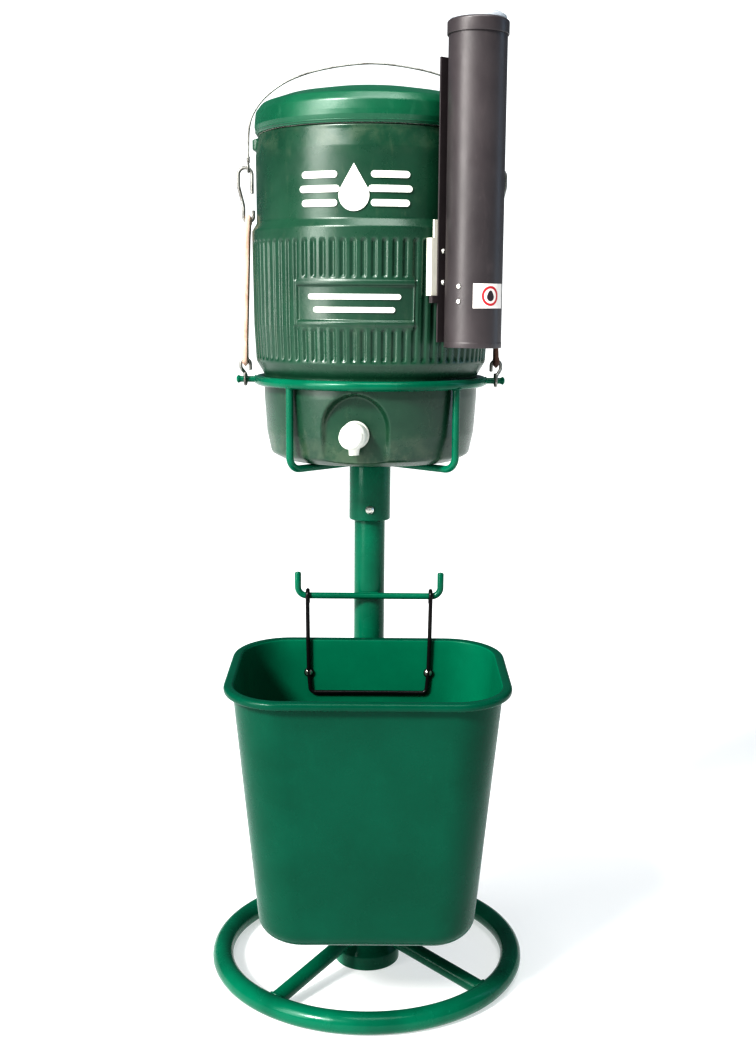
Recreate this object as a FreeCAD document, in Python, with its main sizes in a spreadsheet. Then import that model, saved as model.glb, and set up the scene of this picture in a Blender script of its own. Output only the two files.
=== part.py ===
"""Outdoor drinking-water station.

An insulated cooler with a push-button tap sits in a rod cradle on a tube pedestal with a ring
base.  Two rubber straps and a wire over the lid hold the cooler down, a tube at the front right
holds paper cups, and a waste bin hangs from a hooked bar on the pole.
Frame: +Z up, -Y is the front, origin on the floor at the axis of the pole.  Millimetres.
"""
import FreeCAD
import Part
import math
import os
import re
import Sketcher

V = FreeCAD.Vector
UP = V(0, 0, 1)
LEVEL = FreeCAD.Rotation()
FORWARD = FreeCAD.Rotation(V(1, 0, 0), 90)
SPRING_TURNS = 4
QUARTER_TURNS = (0, 90, 180, 270)
SIDES = (-1, 1)

SIZES = {
    # base
    "base_radius": 208.7,
    "base_tube_radius": 14.6,
    "base_turn": 7,
    "spoke_radius": 10.65,
    "spoke_outer_height": 15,
    "spoke_inner_height": 47,
    "hub_radius": 46.5,
    "hub_skirt": 20,
    "hub_neck_radius": 30,
    "hub_height": 64,
    "pole_foot": 4,
    # pole and sleeve
    "pole_radius": 21.1,
    "pole_wall": 3.5,
    "sleeve_gap": 0.3,
    "sleeve_radius": 28.25,
    "sleeve_length": 76,
    "sleeve_bolt_drop": 69,
    "bolt_radius": 4,
    "bolt_head_radius": 5.6,
    "nut_radius": 7.5,
    # cradle
    "seat_height": 734,
    "leg_radius": 4.75,
    "leg_bend": 17,
    "leg_turn": 2,
    "ring_rise": 105.6,
    "ring_rod_radius": 6.35,
    "ring_gap": 1.05,
    "peg_radius": 4,
    "peg_length": 27.5,
    # bin bar, below the seat
    "bar_drop": 189.3,
    "bar_radius": 4.35,
    "bar_half_width": 98,
    "bar_hook_rise": 31,
    "bar_bend": 12,
    # cooler outline: radii are given as insets from the widest radius, heights above the seat
    "cooler_radius": 158.8,
    "cooler_turn": -8,
    "shell_wall": 4,
    "foot_inset": 37.8,
    "chine_inset": 24.5,
    "chine_rise": 9,
    "belly_inset": 18.3,
    "belly_rise": 38,
    "waist_inset": 15,
    "waist_rise": 88,
    "band_foot_rise": 114,
    "band_inset": 4.6,
    "band_rise": 132,
    "band_mid_inset": 1.9,
    "band_mid_rise": 179,
    "ridge_rise": 292,
    "ridge_width": 9,
    "shoulder_inset": 6.2,
    "shoulder_rise": 311,
    "collar_inset": 5.4,
    "collar_rise": 397,
    "neck_inset": 9.6,
    "neck_rise": 423,
    "grip_inset": 1.2,
    "grip_rise": 405,
    "grip_height": 15,
    "grip_angle": 26,
    # ribs and front panel
    "rib_count": 76,
    "groove_width": 6,
    "groove_depth": 2.4,
    "groove_foot_rise": 129,
    "groove_top_rise": 289,
    "panel_half_angle": 28,
    "panel_rise": 186,
    "panel_height": 44,
    "panel_border": 7,
    "panel_depth": 1.2,
    # liner and insulation
    "liner_wall": 3,
    "liner_floor_rise": 22,
    "liner_foot_inset": 39.8,
    "liner_top_inset": 24.8,
    "rim_height": 3,
    # lid
    "lid_gap": 0.2,
    "gasket_height": 1,
    "lid_wall": 3.5,
    "lid_edge_inset": 6.3,
    "lid_widest_inset": 3.9,
    "lid_widest_height": 12,
    "lid_corner_inset": 14.5,
    "lid_corner_height": 37,
    "lid_dome_height": 61,
    "lid_plug_depth": 16,
    "lid_plug_gap": 1.5,
    # tap; insets are from the widest radius of the cooler
    "tap_rise": 43,
    "recess_half_width": 42.5,
    "recess_arch_rise": 51,
    "recess_inset": 30.8,
    "recess_wall": 4,
    "shank_radius": 10,
    "shank_inset": 56.8,
    "tap_gasket": 2.5,
    "tap_flange_radius": 18,
    "tap_barrel_radius": 17,
    "tap_length": 32.5,
    "nozzle_radius": 6.5,
    "nozzle_drop": 24.5,
    "button_radius": 15,
    "button_travel": 5,
    "stem_radius": 2.5,
    "stem_fit": 0.1,
    # hold-down wire, hooks and straps
    "wire_radius": 1.25,
    "wire_offset": 5,
    "wire_eye_rise": 384,
    "wire_top_rise": 518,
    "hook_radius": 2.25,
    "hook_bend": 9,
    "hook_offset": 4.3,
    "hook_gap": 0.6,
    "strap_thickness": 7,
    "strap_width": 19,
    "strap_top_rise": 324,
    "strap_foot_rise": 123,
    # cup tube
    "cup_angle": -51.8,
    "cup_tube_radius": 35.5,
    "cup_tube_wall": 2,
    "cup_tube_foot": 155,
    "cup_tube_length": 377,
    "cup_cap_height": 17,
    "cup_plate_width": 52,
    "cup_plate_thickness": 2.5,
    "cup_plate_foot": 161,
    "cup_plate_length": 340,
    "spacer_thickness": 6.1,
    "spacer_overhang": 9,
    "spacer_rise": 218,
    "spacer_height": 70,
    # bin, measured from the bar axis
    "bin_width": 360,
    "bin_depth": 263,
    "bin_corner": 76,
    "bin_rim_height": 10,
    "bin_rim_overhang": 11,
    "bin_rim_drop": 63.9,
    "bin_ground_gap": 140,
    "bin_foot_width": 279,
    "bin_foot_depth": 204,
    "bin_foot_corner": 58,
    "bin_wall": 2.2,
    "bin_edge_round": 24,
    "bin_tilt": 3.5,
    "bin_back_gap": 0.5,
    "hanger_radius": 2.75,
    "hanger_gap": 0.35,
    "hanger_spread": 84.5,
    "bin_screw_drop": 105,
    "bin_screw_spread": 82.4,
    "tab_radius": 6.5,
    "tab_thickness": 3,
    "tab_gap": 0.6,
}

doc = FreeCAD.newDocument("WaterStation")
sheet = doc.addObject("Spreadsheet::Sheet", "Sizes")
for row, (word, number) in enumerate(SIZES.items(), 1):
    sheet.set(f"A{row}", word)
    sheet.set(f"B{row}", str(number))
    sheet.setAlias(f"B{row}", word)
doc.recompute()

NODES = {}


def size(word):
    """Value of one cell of the sheet."""
    return float(getattr(sheet, word))


def cells(text):
    """Turn the plain words of a formula into references to the sheet."""
    return re.sub(r"\b[a-z]\w*", r"Sizes.\g<0>", text)


def bind(obj, formulas):
    for prop, text in formulas.items():
        obj.setExpression(prop, cells(text))


def place(obj, at, rotation=LEVEL):
    """Fix the rotation and tie the position of obj to formulas for x, y and z."""
    obj.Placement = FreeCAD.Placement(V(), rotation)
    bind(obj, {f"Placement.Base.{axis}": text for axis, text in zip("xyz", at)})
    return obj


def node(name, obj, placement=None):
    """Register obj as the sub-part called name."""
    if placement is not None:
        obj.Placement = placement
    obj.Label = name
    NODES[name] = obj
    return obj


def cylinder(name, radius, height, at=("0", "0", "0"), rotation=LEVEL):
    obj = doc.addObject("Part::Cylinder", name)
    bind(obj, {"Radius": radius, "Height": height})
    return place(obj, at, rotation)


def box(name, spans):
    """Box between a low and a high formula along x, y and z."""
    obj = doc.addObject("Part::Box", name)
    for prop, (low, high) in zip(("Length", "Width", "Height"), spans):
        bind(obj, {prop: f"({high}) - ({low})"})
    return place(obj, [low for low, high in spans])


def torus(name, radius, tube, height):
    obj = doc.addObject("Part::Torus", name)
    bind(obj, {"Radius1": radius, "Radius2": tube})
    return place(obj, ("0", "0", height))


def fuse(name, parts):
    obj = doc.addObject("Part::MultiFuse", name)
    obj.Shapes = parts
    return obj


def cut(name, base, tool):
    obj = doc.addObject("Part::Cut", name)
    obj.Base = base
    obj.Tool = tool
    return obj


def common(name, parts):
    obj = doc.addObject("Part::MultiCommon", name)
    obj.Shapes = parts
    return obj


def solid(name, shapes):
    """Shapes that no primitive gives, kept as one object of separate solids."""
    obj = doc.addObject("Part::Feature", name)
    obj.Shape = Part.Compound(shapes)
    return obj


def turned(name, outline):
    """Solid of revolution about Z from (radius, height) formulas; None marks a point on the axis."""
    sketch = doc.addObject("Sketcher::SketchObject", f"{name}_outline")
    sketch.Placement = FreeCAD.Placement(V(), FORWARD)
    count = len(outline)
    ring = [2 * math.pi * i / count for i in range(count)]
    corners = [V(100 + 50 * math.cos(a), 100 + 50 * math.sin(a), 0) for a in ring]
    for i in range(count):
        sketch.addGeometry(Part.LineSegment(corners[i], corners[(i + 1) % count]), False)
    for i in range(count):
        sketch.addConstraint(Sketcher.Constraint("Coincident", i, 2, (i + 1) % count, 1))
    for i, (radius, height) in enumerate(outline):
        if radius is None:
            sketch.addConstraint(Sketcher.Constraint("PointOnObject", i, 1, -2))
        else:
            tie(sketch, "DistanceX", i, radius)
        if height == "0":
            sketch.addConstraint(Sketcher.Constraint("PointOnObject", i, 1, -1))
        else:
            tie(sketch, "DistanceY", i, height)
    obj = doc.addObject("Part::Revolution", name)
    obj.Source = sketch
    obj.Axis = UP
    obj.Angle = 360
    obj.Solid = True
    return obj


def tie(sketch, kind, corner, formula):
    index = sketch.addConstraint(Sketcher.Constraint(kind, -1, 1, corner, 1, 1.0 + corner))
    sketch.setExpression(f"Constraints[{index}]", cells(formula))


def wedge(name, inner, outer, low, high, start, sweep):
    """Sector of a ring between two radii, two heights and from a start angle over a sweep."""
    pair = []
    for part, radius in (("outer", outer), ("inner", inner)):
        obj = doc.addObject("Part::Cylinder", f"{name}_{part}")
        bind(obj, {"Radius": radius, "Height": f"({high}) - ({low})", "Angle": sweep})
        place(obj, ("0", "0", low), FreeCAD.Rotation(UP, start))
        pair.append(obj)
    return cut(name, *pair)


def bent(points, radii):
    """Path through points whose inner corners are rounded with the given radii."""
    edges = []
    last = points[0]
    for corner, (before, at, after, radius) in enumerate(zip(points, points[1:], points[2:], radii)):
        to_before = (before - at).normalize()
        to_after = (after - at).normalize()
        half = to_before.getAngle(to_after) / 2
        reach = radius / math.tan(half)
        middle = (to_before + to_after).normalize()
        start = at + to_before * reach
        end = at + to_after * reach
        crown = at + middle * (radius / math.sin(half) - radius)
        edges.append(Part.makeLine(last, start))
        edges.append(Part.Arc(start, crown, end).toShape())
        last = end
    edges.append(Part.makeLine(last, points[-1]))
    return Part.Wire(edges)


def rod(path, radius):
    """Round rod along a path that starts with a straight or smooth edge."""
    first = path.OrderedEdges[0]
    start = path.OrderedVertexes[0].Point
    end = first.firstVertex(True).Point
    toward = first.tangentAt(first.FirstParameter if end.isEqual(start, 1e-6) else first.LastParameter)
    ring = Part.Wire(Part.makeCircle(radius, start, toward))
    return path.makePipeShell([ring], True, False)


def smooth(points):
    curve = Part.BSplineCurve()
    curve.interpolate(points)
    return Part.Wire(curve.toShape())


def about_z(shape, degrees):
    copy = shape.copy()
    copy.rotate(V(), UP, degrees)
    return copy


def both_sides(shape):
    """The shape at one side and its half-turned twin at the other."""
    return [shape, about_z(shape, 180)]


def inset(word):
    return f"cooler_radius - {word}"


def rise(word):
    return f"seat_height + {word}"


# ---------------------------------------------------------------- pedestal
node("base_ring", torus("base_ring", "base_radius", "base_tube_radius", "base_tube_radius"))

hub_outer = turned("hub_outer", [
    (None, "0"), ("hub_radius - 3", "0"), ("hub_radius", "3"),
    ("hub_radius", "hub_skirt"), ("hub_radius - 3", "hub_skirt + 6"),
    ("hub_neck_radius + 2", "hub_height - 12"), ("hub_neck_radius", "hub_height - 6"),
    ("hub_neck_radius", "hub_height"), (None, "hub_height")])
hub_bore = cylinder("hub_bore", "pole_radius", "hub_height", ("0", "0", "pole_foot"))
node("base_hub", cut("base_hub", hub_outer, hub_bore))

POLE_FOOT = "pole_foot"
POLE_TOP = "seat_height - 2 * leg_radius - 6"
pole_outer = cylinder("pole_outer", "pole_radius", f"{POLE_TOP} - ({POLE_FOOT})", ("0", "0", POLE_FOOT))
pole_bore = cylinder("pole_bore", "pole_radius - pole_wall", "seat_height", ("0", "0", POLE_FOOT))
pole_tube = cut("pole_tube", pole_outer, pole_bore)


def spokes():
    """Four tubes that climb from the ring to the hub."""
    outer = V(size("base_radius") - 2, 0, size("spoke_outer_height"))
    inner = V(size("hub_neck_radius") - 6, 0, size("spoke_inner_height"))
    bar = Part.makeCylinder(size("spoke_radius"), (inner - outer).Length, outer, inner - outer)
    joined = base_solids.common(bar)
    trimmed = bar.cut(joined)
    body = max(trimmed.Solids, key=lambda piece: piece.Volume)
    return [about_z(body, angle + 45 + size("base_turn")) for angle in QUARTER_TURNS]


doc.recompute()
base_solids = NODES["base_ring"].Shape.fuse([hub_outer.Shape, pole_outer.Shape])
node("base_spokes", solid("base_spokes", spokes()))

SLEEVE_TOP = "seat_height - 2 * leg_radius"
SLEEVE_FOOT = f"{SLEEVE_TOP} - sleeve_length"
sleeve_tube = turned("sleeve_tube", [
    ("pole_radius + sleeve_gap", SLEEVE_FOOT), ("sleeve_radius - 1.5", SLEEVE_FOOT),
    ("sleeve_radius", f"{SLEEVE_FOOT} + 1.5"), ("sleeve_radius", SLEEVE_TOP), (None, SLEEVE_TOP),
    (None, f"{SLEEVE_TOP} - 4"), ("pole_radius + sleeve_gap", f"{SLEEVE_TOP} - 4")])

BOLT_HEIGHT = "seat_height - sleeve_bolt_drop"
BOLT_BACK = "sleeve_radius + 9"
bolt_shank = cylinder("bolt_shank", "bolt_radius", f"sleeve_radius + ({BOLT_BACK})",
                      ("0", BOLT_BACK, "0"), FORWARD)
bolt_head = turned("bolt_head", [
    (None, "sleeve_radius"), ("bolt_head_radius", "sleeve_radius"),
    ("bolt_head_radius", "sleeve_radius + 1.8"), ("bolt_head_radius * 0.6", "sleeve_radius + 4.2"),
    (None, "sleeve_radius + 4.6")])
bolt_head.Placement = FreeCAD.Placement(V(), FORWARD)
bolt = fuse("sleeve_bolt", [bolt_shank, bolt_head])
node("sleeve_bolt", place(bolt, ("0", "0", BOLT_HEIGHT)))

bolt_hole = cylinder("bolt_hole", "bolt_radius", "4 * sleeve_radius",
                     ("0", "2 * sleeve_radius", BOLT_HEIGHT), FORWARD)
node("pole", cut("pole", pole_tube, bolt_hole))
node("cradle_sleeve", cut("cradle_sleeve", sleeve_tube, bolt_hole))

nut_body = doc.addObject("Part::Prism", "nut_body")
nut_body.Polygon = 6
bind(nut_body, {"Circumradius": "nut_radius", "Height": "6"})
place(nut_body, ("0", "sleeve_radius + 6.5", BOLT_HEIGHT), FORWARD)
nut_flat = cut("nut_flat", nut_body, sleeve_tube)
node("sleeve_nut", cut("sleeve_nut", nut_flat, bolt_hole))

# ---------------------------------------------------------------- cradle
RING_RADIUS = "cooler_radius - waist_inset + ring_gap + ring_rod_radius"
RING_HEIGHT = rise("ring_rise")
ring = torus("cradle_ring", RING_RADIUS, "ring_rod_radius", RING_HEIGHT)
node("cradle_ring", ring)
doc.recompute()

ring_radius = ring.Radius1.Value
ring_height = size("seat_height") + size("ring_rise")
seat_rod = size("seat_height") - size("leg_radius")


def legs():
    """Four bent rods from the top of the sleeve out and up to the ring."""
    points = [V(8, 0, seat_rod), V(ring_radius, 0, seat_rod), V(ring_radius, 0, ring_height - 3)]
    leg = rod(bent(points, [size("leg_bend")]), size("leg_radius")).cut(ring.Shape)
    body = max(leg.Solids, key=lambda piece: piece.Volume)
    return [about_z(body, angle + 45 + size("leg_turn")) for angle in QUARTER_TURNS]


def peg():
    """Peg welded to the outside of the ring, with a flared tip that keeps the hook on."""
    radius = size("peg_radius")
    start = V(ring_radius, 0, ring_height)
    straight = size("ring_rod_radius") + size("peg_length") - 6
    stub = Part.makeCylinder(radius, straight, start, V(1, 0, 0))
    tip = start + V(straight, 0, 0)
    flare = Part.makeCone(radius, radius + 1.6, 4, tip, V(1, 0, 0))
    end = Part.makeCone(radius + 1.6, radius - 1, 2, tip + V(4, 0, 0), V(1, 0, 0))
    return stub.fuse([flare, end]).removeSplitter().cut(ring.Shape)


node("cradle_legs", solid("cradle_legs", legs()))
node("tie_pegs", solid("tie_pegs", both_sides(peg())))

# ---------------------------------------------------------------- bin bar
half = size("bar_half_width")
bar_axis = V(0, -size("pole_radius") - size("bar_radius"), size("seat_height") - size("bar_drop"))
hook_top = V(0, 0, size("bar_hook_rise"))
bar_points = [V(-half, 0, 0) + hook_top, V(-half, 0, 0), V(half, 0, 0), V(half, 0, 0) + hook_top]
bar_path = bent([bar_axis + p for p in bar_points], [size("bar_bend")] * 2)
node("bin_bar", solid("bin_bar", [rod(bar_path, size("bar_radius"))]))

# ---------------------------------------------------------------- cooler
COOLER = FreeCAD.Placement(V(), FreeCAD.Rotation(UP, size("cooler_turn")))
OUTLINE = [("foot_inset", "0"), ("chine_inset", "chine_rise"), ("belly_inset", "belly_rise"),
           ("waist_inset", "waist_rise"), ("waist_inset", "band_foot_rise"),
           ("band_inset", "band_rise"), ("band_mid_inset", "band_mid_rise"), ("0", "ridge_rise"),
           ("0", "ridge_rise + ridge_width"), ("shoulder_inset", "shoulder_rise"),
           ("collar_inset", "collar_rise"), ("neck_inset", "neck_rise - rim_height")]
skin = [(inset(narrow), rise(high)) for narrow, high in OUTLINE]
SHELL_FLOOR = rise("shell_wall")
hollow = [(f"{radius} - shell_wall", height) for radius, height in skin]
hollow[0] = (hollow[0][0], SHELL_FLOOR)
RIM_FOOT = rise("neck_rise - rim_height")
RIM_TOP = rise("neck_rise")

shell_wall = turned("shell_wall", [(None, "seat_height")] + skin + hollow[::-1] + [(None, SHELL_FLOOR)])
shell_block = turned("shell_block", [(None, "seat_height")] + skin + [(None, RIM_FOOT)])


def arch(name, half_width, face, outer):
    """Arched niche standing on the foot of the cooler between two distances from the axis."""
    top = rise("recess_arch_rise")
    crown = cylinder(f"{name}_crown", half_width, f"({outer}) - ({face})",
                     ("0", f"-({face})", top), FORWARD)
    foot = box(f"{name}_foot", [(f"-({half_width})", half_width), (f"-({outer})", f"-({face})"),
                                ("seat_height - 10", top)])
    return fuse(name, [crown, foot])


RECESS_FACE = inset("recess_inset")
recess = arch("recess", "recess_half_width", RECESS_FACE, "cooler_radius + 20")
niche = arch("niche", "recess_half_width + recess_wall", f"{RECESS_FACE} - recess_wall", "cooler_radius")
niche_wall = common("niche_wall", [niche, shell_block])
grips = []
for start in (0, 180):
    grips.append(wedge(f"grip_{start}", "cooler_radius - collar_inset - 3", inset("grip_inset"),
                       rise("grip_rise"), rise("grip_rise + grip_height"), start - size("grip_angle") / 2,
                       "grip_angle"))
panel = wedge("panel", inset("(panel_depth + band_mid_inset - 0.5)"), "cooler_radius + 5",
              rise("panel_rise"), rise("panel_rise + panel_height"), -90 - size("panel_half_angle"),
              "2 * panel_half_angle")
shell_solid = fuse("shell_solid", [shell_wall, niche_wall] + grips)


def groove(angle, heights):
    """Upright slot whose floor follows the band between the given heights above the seat."""
    knots = [(size("band_rise"), size("band_inset")), (size("band_mid_rise"), size("band_mid_inset")),
             (size("ridge_rise"), 0.0)]

    def surface(height):
        low, high = (knots[0], knots[1]) if height < knots[1][0] else (knots[1], knots[2])
        share = (height - low[0]) / (high[0] - low[0])
        return size("cooler_radius") - low[1] - share * (high[1] - low[1])

    foot = size("seat_height")
    floor = [V(surface(h) - size("groove_depth"), 0, foot + h) for h in heights]
    rim = [V(size("cooler_radius") + 6, 0, foot + h) for h in (heights[-1], heights[0])]
    corners = floor + rim
    face = Part.Face(Part.makePolygon(corners + corners[:1]))
    face.translate(V(0, -size("groove_width") / 2, 0))
    return about_z(face.extrude(V(0, size("groove_width"), 0)), angle - 90)


def grooves():
    """Slots all round the band; those in front stop above and below the panel."""
    count = int(size("rib_count"))
    foot = size("groove_foot_rise") + 4
    middle = size("band_mid_rise")
    top = size("groove_top_rise")
    above = size("panel_rise") + size("panel_height") + size("panel_border")
    shapes = []
    for k in range(count):
        angle = (k - count // 2) * 360 / count
        if abs(angle) < size("panel_half_angle"):
            shapes.append(groove(angle, [foot, middle]))
            shapes.append(groove(angle, [above, top]))
        else:
            shapes.append(groove(angle, [foot, middle, top]))
    return shapes


groove_tool = solid("groove_tool", grooves())
TAP_HEIGHT = rise("tap_rise")
tap_hole = cylinder("tap_hole", "shank_radius + 0.2", "cooler_radius", ("0", "0", TAP_HEIGHT), FORWARD)

CUP = FreeCAD.Placement(V(), FreeCAD.Rotation(UP, size("cup_angle")))
PLATE_SCREWS = [(f"{side * 17}", rise(f"spacer_rise + {height}")) for side in SIDES for height in (16, 54)]
OUTWARD = FreeCAD.Rotation(V(0, 1, 0), 90)
SCREW_NEAR = inset("16")
PLATE_BACK = "cooler_radius + spacer_thickness"
PLATE_FRONT = f"{PLATE_BACK} + cup_plate_thickness"


def plate_rods(name, radius, near, far):
    """One cylinder at each screw of the cup tube's plate, pointing away from the cooler axis."""
    return [cylinder(f"{name}_{i}", radius, f"({far}) - ({near})", (near, offset, height), OUTWARD)
            for i, (offset, height) in enumerate(PLATE_SCREWS)]


screw_holes = fuse("screw_holes", plate_rods("screw_hole", "2", SCREW_NEAR, PLATE_FRONT))
screw_holes.Placement = COOLER.inverse().multiply(CUP)
shell_tools = fuse("shell_tools", [recess, panel, tap_hole, screw_holes])
plain_shell = cut("plain_shell", shell_solid, shell_tools)
node("cooler_shell", cut("cooler_shell", plain_shell, groove_tool), COOLER)

LINER_FLOOR = rise("liner_floor_rise")
liner_foot = inset("liner_foot_inset")
liner_top = inset("liner_top_inset")
liner_cup = turned("liner_cup", [
    (None, LINER_FLOOR), (f"{liner_foot} - 6", LINER_FLOOR), (liner_foot, f"{LINER_FLOOR} + 8"),
    (liner_top, RIM_FOOT), (inset("neck_inset"), RIM_FOOT), (inset("(neck_inset + 0.8)"), RIM_TOP),
    (f"{liner_top} - liner_wall", RIM_TOP),
    (f"{liner_foot} - liner_wall", f"{LINER_FLOOR} + 8 + liner_wall"),
    (f"{liner_foot} - 6 - liner_wall", f"{LINER_FLOOR} + liner_wall"),
    (None, f"{LINER_FLOOR} + liner_wall")])
node("cooler_liner", cut("cooler_liner", liner_cup, tap_hole), COOLER)

foam_block = turned("foam_block", [(None, SHELL_FLOOR)] + hollow + [
    (liner_top, RIM_FOOT), (liner_foot, f"{LINER_FLOOR} + 8"), (f"{liner_foot} - 6", LINER_FLOOR),
    (None, LINER_FLOOR)])
foam_tools = fuse("foam_tools", [niche, tap_hole, screw_holes])
node("cooler_foam", cut("cooler_foam", foam_block, foam_tools), COOLER)


def on_skin(outlines, inner, outer):
    """Thin pieces that lie on a round surface, cut from upright prisms facing forwards."""
    low, high = V(0, 0, size("seat_height")), size("neck_rise")
    sheet_ring = Part.makeCylinder(outer, high, low).cut(Part.makeCylinder(inner, high, low))
    prisms = [Part.Face(Part.Wire(outline)).extrude(V(0, -2 * outer, 0)) for outline in outlines]
    return [prism.common(sheet_ring).Solids[0] for prism in prisms]


def capsule(x, z, half_length, radius):
    """Upright outline of a bar with round ends."""
    left, right = V(x - half_length, 0, z), V(x + half_length, 0, z)
    lift = V(0, 0, radius)
    side = V(radius, 0, 0)
    return [Part.makeLine(left + lift, right + lift),
            Part.Arc(right + lift, right + side, right - lift).toShape(),
            Part.makeLine(right - lift, left - lift),
            Part.Arc(left - lift, left - side, left + lift).toShape()]


def droplet(x, z, radius):
    """Upright outline of a water drop."""
    slope = math.radians(30)
    touch = V(radius * math.cos(slope), 0, radius * math.sin(slope))
    mirror = V(-touch.x, 0, touch.z)
    tip = V(0, 0, radius / math.sin(slope))
    centre = V(x, 0, z)
    return [Part.makeLine(centre + tip, centre + touch),
            Part.Arc(centre + touch, centre - V(0, 0, radius), centre + mirror).toShape(),
            Part.makeLine(centre + mirror, centre + tip)]


emblem_height = size("seat_height") + 346
emblem_skin = size("cooler_radius") - size("collar_inset") + 0.2
emblem_bars = [capsule(side * 44, emblem_height + row * 17, 22 - 3 * abs(row), 4.2)
               for side in SIDES for row in (-1, 0, 1)]
emblem = on_skin([droplet(0, emblem_height - 8, 19)] + emblem_bars, emblem_skin, emblem_skin + 0.8)
node("front_emblem", solid("front_emblem", emblem), COOLER)
panel_skin = size("cooler_radius") - size("panel_depth") - size("band_mid_inset") + 0.5
panel_middle = size("seat_height") + size("panel_rise") + size("panel_height") / 2
stripe_outlines = [capsule(0, panel_middle + 8, 55, 3.4), capsule(0, panel_middle - 8, 48, 3.4)]
stripes = on_skin(stripe_outlines, panel_skin, panel_skin + 0.8)
node("panel_stripes", solid("panel_stripes", stripes), COOLER)

# ---------------------------------------------------------------- lid
LID_FOOT = rise("neck_rise + lid_gap + gasket_height")
LID_INNER = inset("lid_edge_inset - lid_wall")
PAN_TOP = f"{LID_FOOT} + 3"
PLUG = f"{liner_top} - liner_wall - lid_plug_gap"
PLUG_FOOT = f"{LID_FOOT} - lid_plug_depth"
lid_skin = [
    (inset("lid_edge_inset"), LID_FOOT),
    (inset("lid_widest_inset"), f"{LID_FOOT} + lid_widest_height"),
    (inset("(lid_widest_inset + 1.2)"), f"{LID_FOOT} + lid_widest_height + 9"),
    (inset("(lid_widest_inset + 4.5)"), f"{LID_FOOT} + lid_corner_height - 7"),
    (inset("lid_corner_inset"), f"{LID_FOOT} + lid_corner_height"),
    (inset("(lid_corner_inset + 28)"), f"{LID_FOOT} + lid_corner_height + 10"),
    (inset("(lid_corner_inset + 68)"), f"{LID_FOOT} + lid_dome_height - 6"),
    (None, f"{LID_FOOT} + lid_dome_height")]
lid_hollow = [
    (None, f"{LID_FOOT} + lid_dome_height - lid_wall"),
    (inset("(lid_corner_inset + 68)"), f"{LID_FOOT} + lid_dome_height - 6 - lid_wall"),
    (inset("(lid_corner_inset + 29)"), f"{LID_FOOT} + lid_corner_height + 10 - lid_wall"),
    (inset("(lid_corner_inset + lid_wall)"), f"{LID_FOOT} + lid_corner_height - lid_wall"),
    (LID_INNER, f"{LID_FOOT} + lid_corner_height - 12"), (LID_INNER, LID_FOOT)]
node("lid_shell", turned("lid_shell", lid_skin + lid_hollow), COOLER)
lid_pan = [
    (None, PLUG_FOOT), (f"{PLUG} - 4", PLUG_FOOT), (PLUG, f"{PLUG_FOOT} + 5"), (PLUG, LID_FOOT),
    (LID_INNER, LID_FOOT), (LID_INNER, PAN_TOP), (f"{PLUG} - 3", PAN_TOP),
    (f"{PLUG} - 3", f"{PLUG_FOOT} + 6"), (f"{PLUG} - 6", f"{PLUG_FOOT} + 3"), (None, f"{PLUG_FOOT} + 3")]
node("lid_liner", turned("lid_liner", lid_pan), COOLER)
node("lid_foam", turned("lid_foam", lid_hollow[:-1] + [(LID_INNER, PAN_TOP)] + lid_pan[6:]), COOLER)
node("lid_gasket", turned("lid_gasket", [
    (liner_top, rise("neck_rise + lid_gap")), (inset("neck_inset - 3"), rise("neck_rise + lid_gap")),
    (inset("neck_inset - 3"), LID_FOOT), (liner_top, LID_FOOT)]), COOLER)

# ---------------------------------------------------------------- tap, drawn along its own axis
TAP = COOLER.multiply(FreeCAD.Placement(V(0, 0, size("seat_height") + size("tap_rise")), FORWARD))
SHANK_START = inset("shank_inset")
FLANGE = f"{RECESS_FACE} + tap_gasket"
BARREL_END = f"{FLANGE} + tap_length"
WEB = f"{FLANGE} + 18"
CAVITY = f"{WEB} + 2"
NOZZLE = f"{FLANGE} + 12"
node("tap_gasket", turned("tap_gasket", [
    ("shank_radius + 0.1", RECESS_FACE), ("tap_flange_radius - 0.5", RECESS_FACE),
    ("tap_flange_radius - 0.5", FLANGE), ("shank_radius + 0.1", FLANGE)]), TAP)
barrel = turned("tap_barrel", [
    (None, SHANK_START), ("shank_radius", SHANK_START), ("shank_radius", FLANGE),
    ("tap_flange_radius", FLANGE), ("tap_flange_radius", f"{FLANGE} + 3.5"),
    ("tap_barrel_radius", f"{FLANGE} + 4.5"), ("tap_barrel_radius", f"{BARREL_END} - 2"),
    ("tap_barrel_radius - 2", BARREL_END), (None, BARREL_END)])
nozzle = cylinder("nozzle", "nozzle_radius", "nozzle_drop", ("0", "0", NOZZLE), FORWARD)
tap_solid = fuse("tap_solid", [barrel, nozzle])
tap_bores = fuse("tap_bores", [
    cylinder("tap_waterway", "shank_radius - 3.5", f"{WEB} - ({SHANK_START})", ("0", "0", SHANK_START)),
    cylinder("tap_chamber", "tap_barrel_radius - 6", f"{WEB} - ({FLANGE}) - 7",
             ("0", "0", f"{FLANGE} + 7")),
    cylinder("tap_web_hole", "stem_radius + stem_fit", "30", ("0", "0", f"{WEB} - 5")),
    cylinder("tap_cavity", "tap_barrel_radius - 4", "40", ("0", "0", CAVITY)),
    cylinder("nozzle_bore", "nozzle_radius - 2.5", "nozzle_drop + 1", ("0", "0", NOZZLE), FORWARD)])
node("tap_body", cut("tap_body", tap_solid, tap_bores), TAP)

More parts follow.
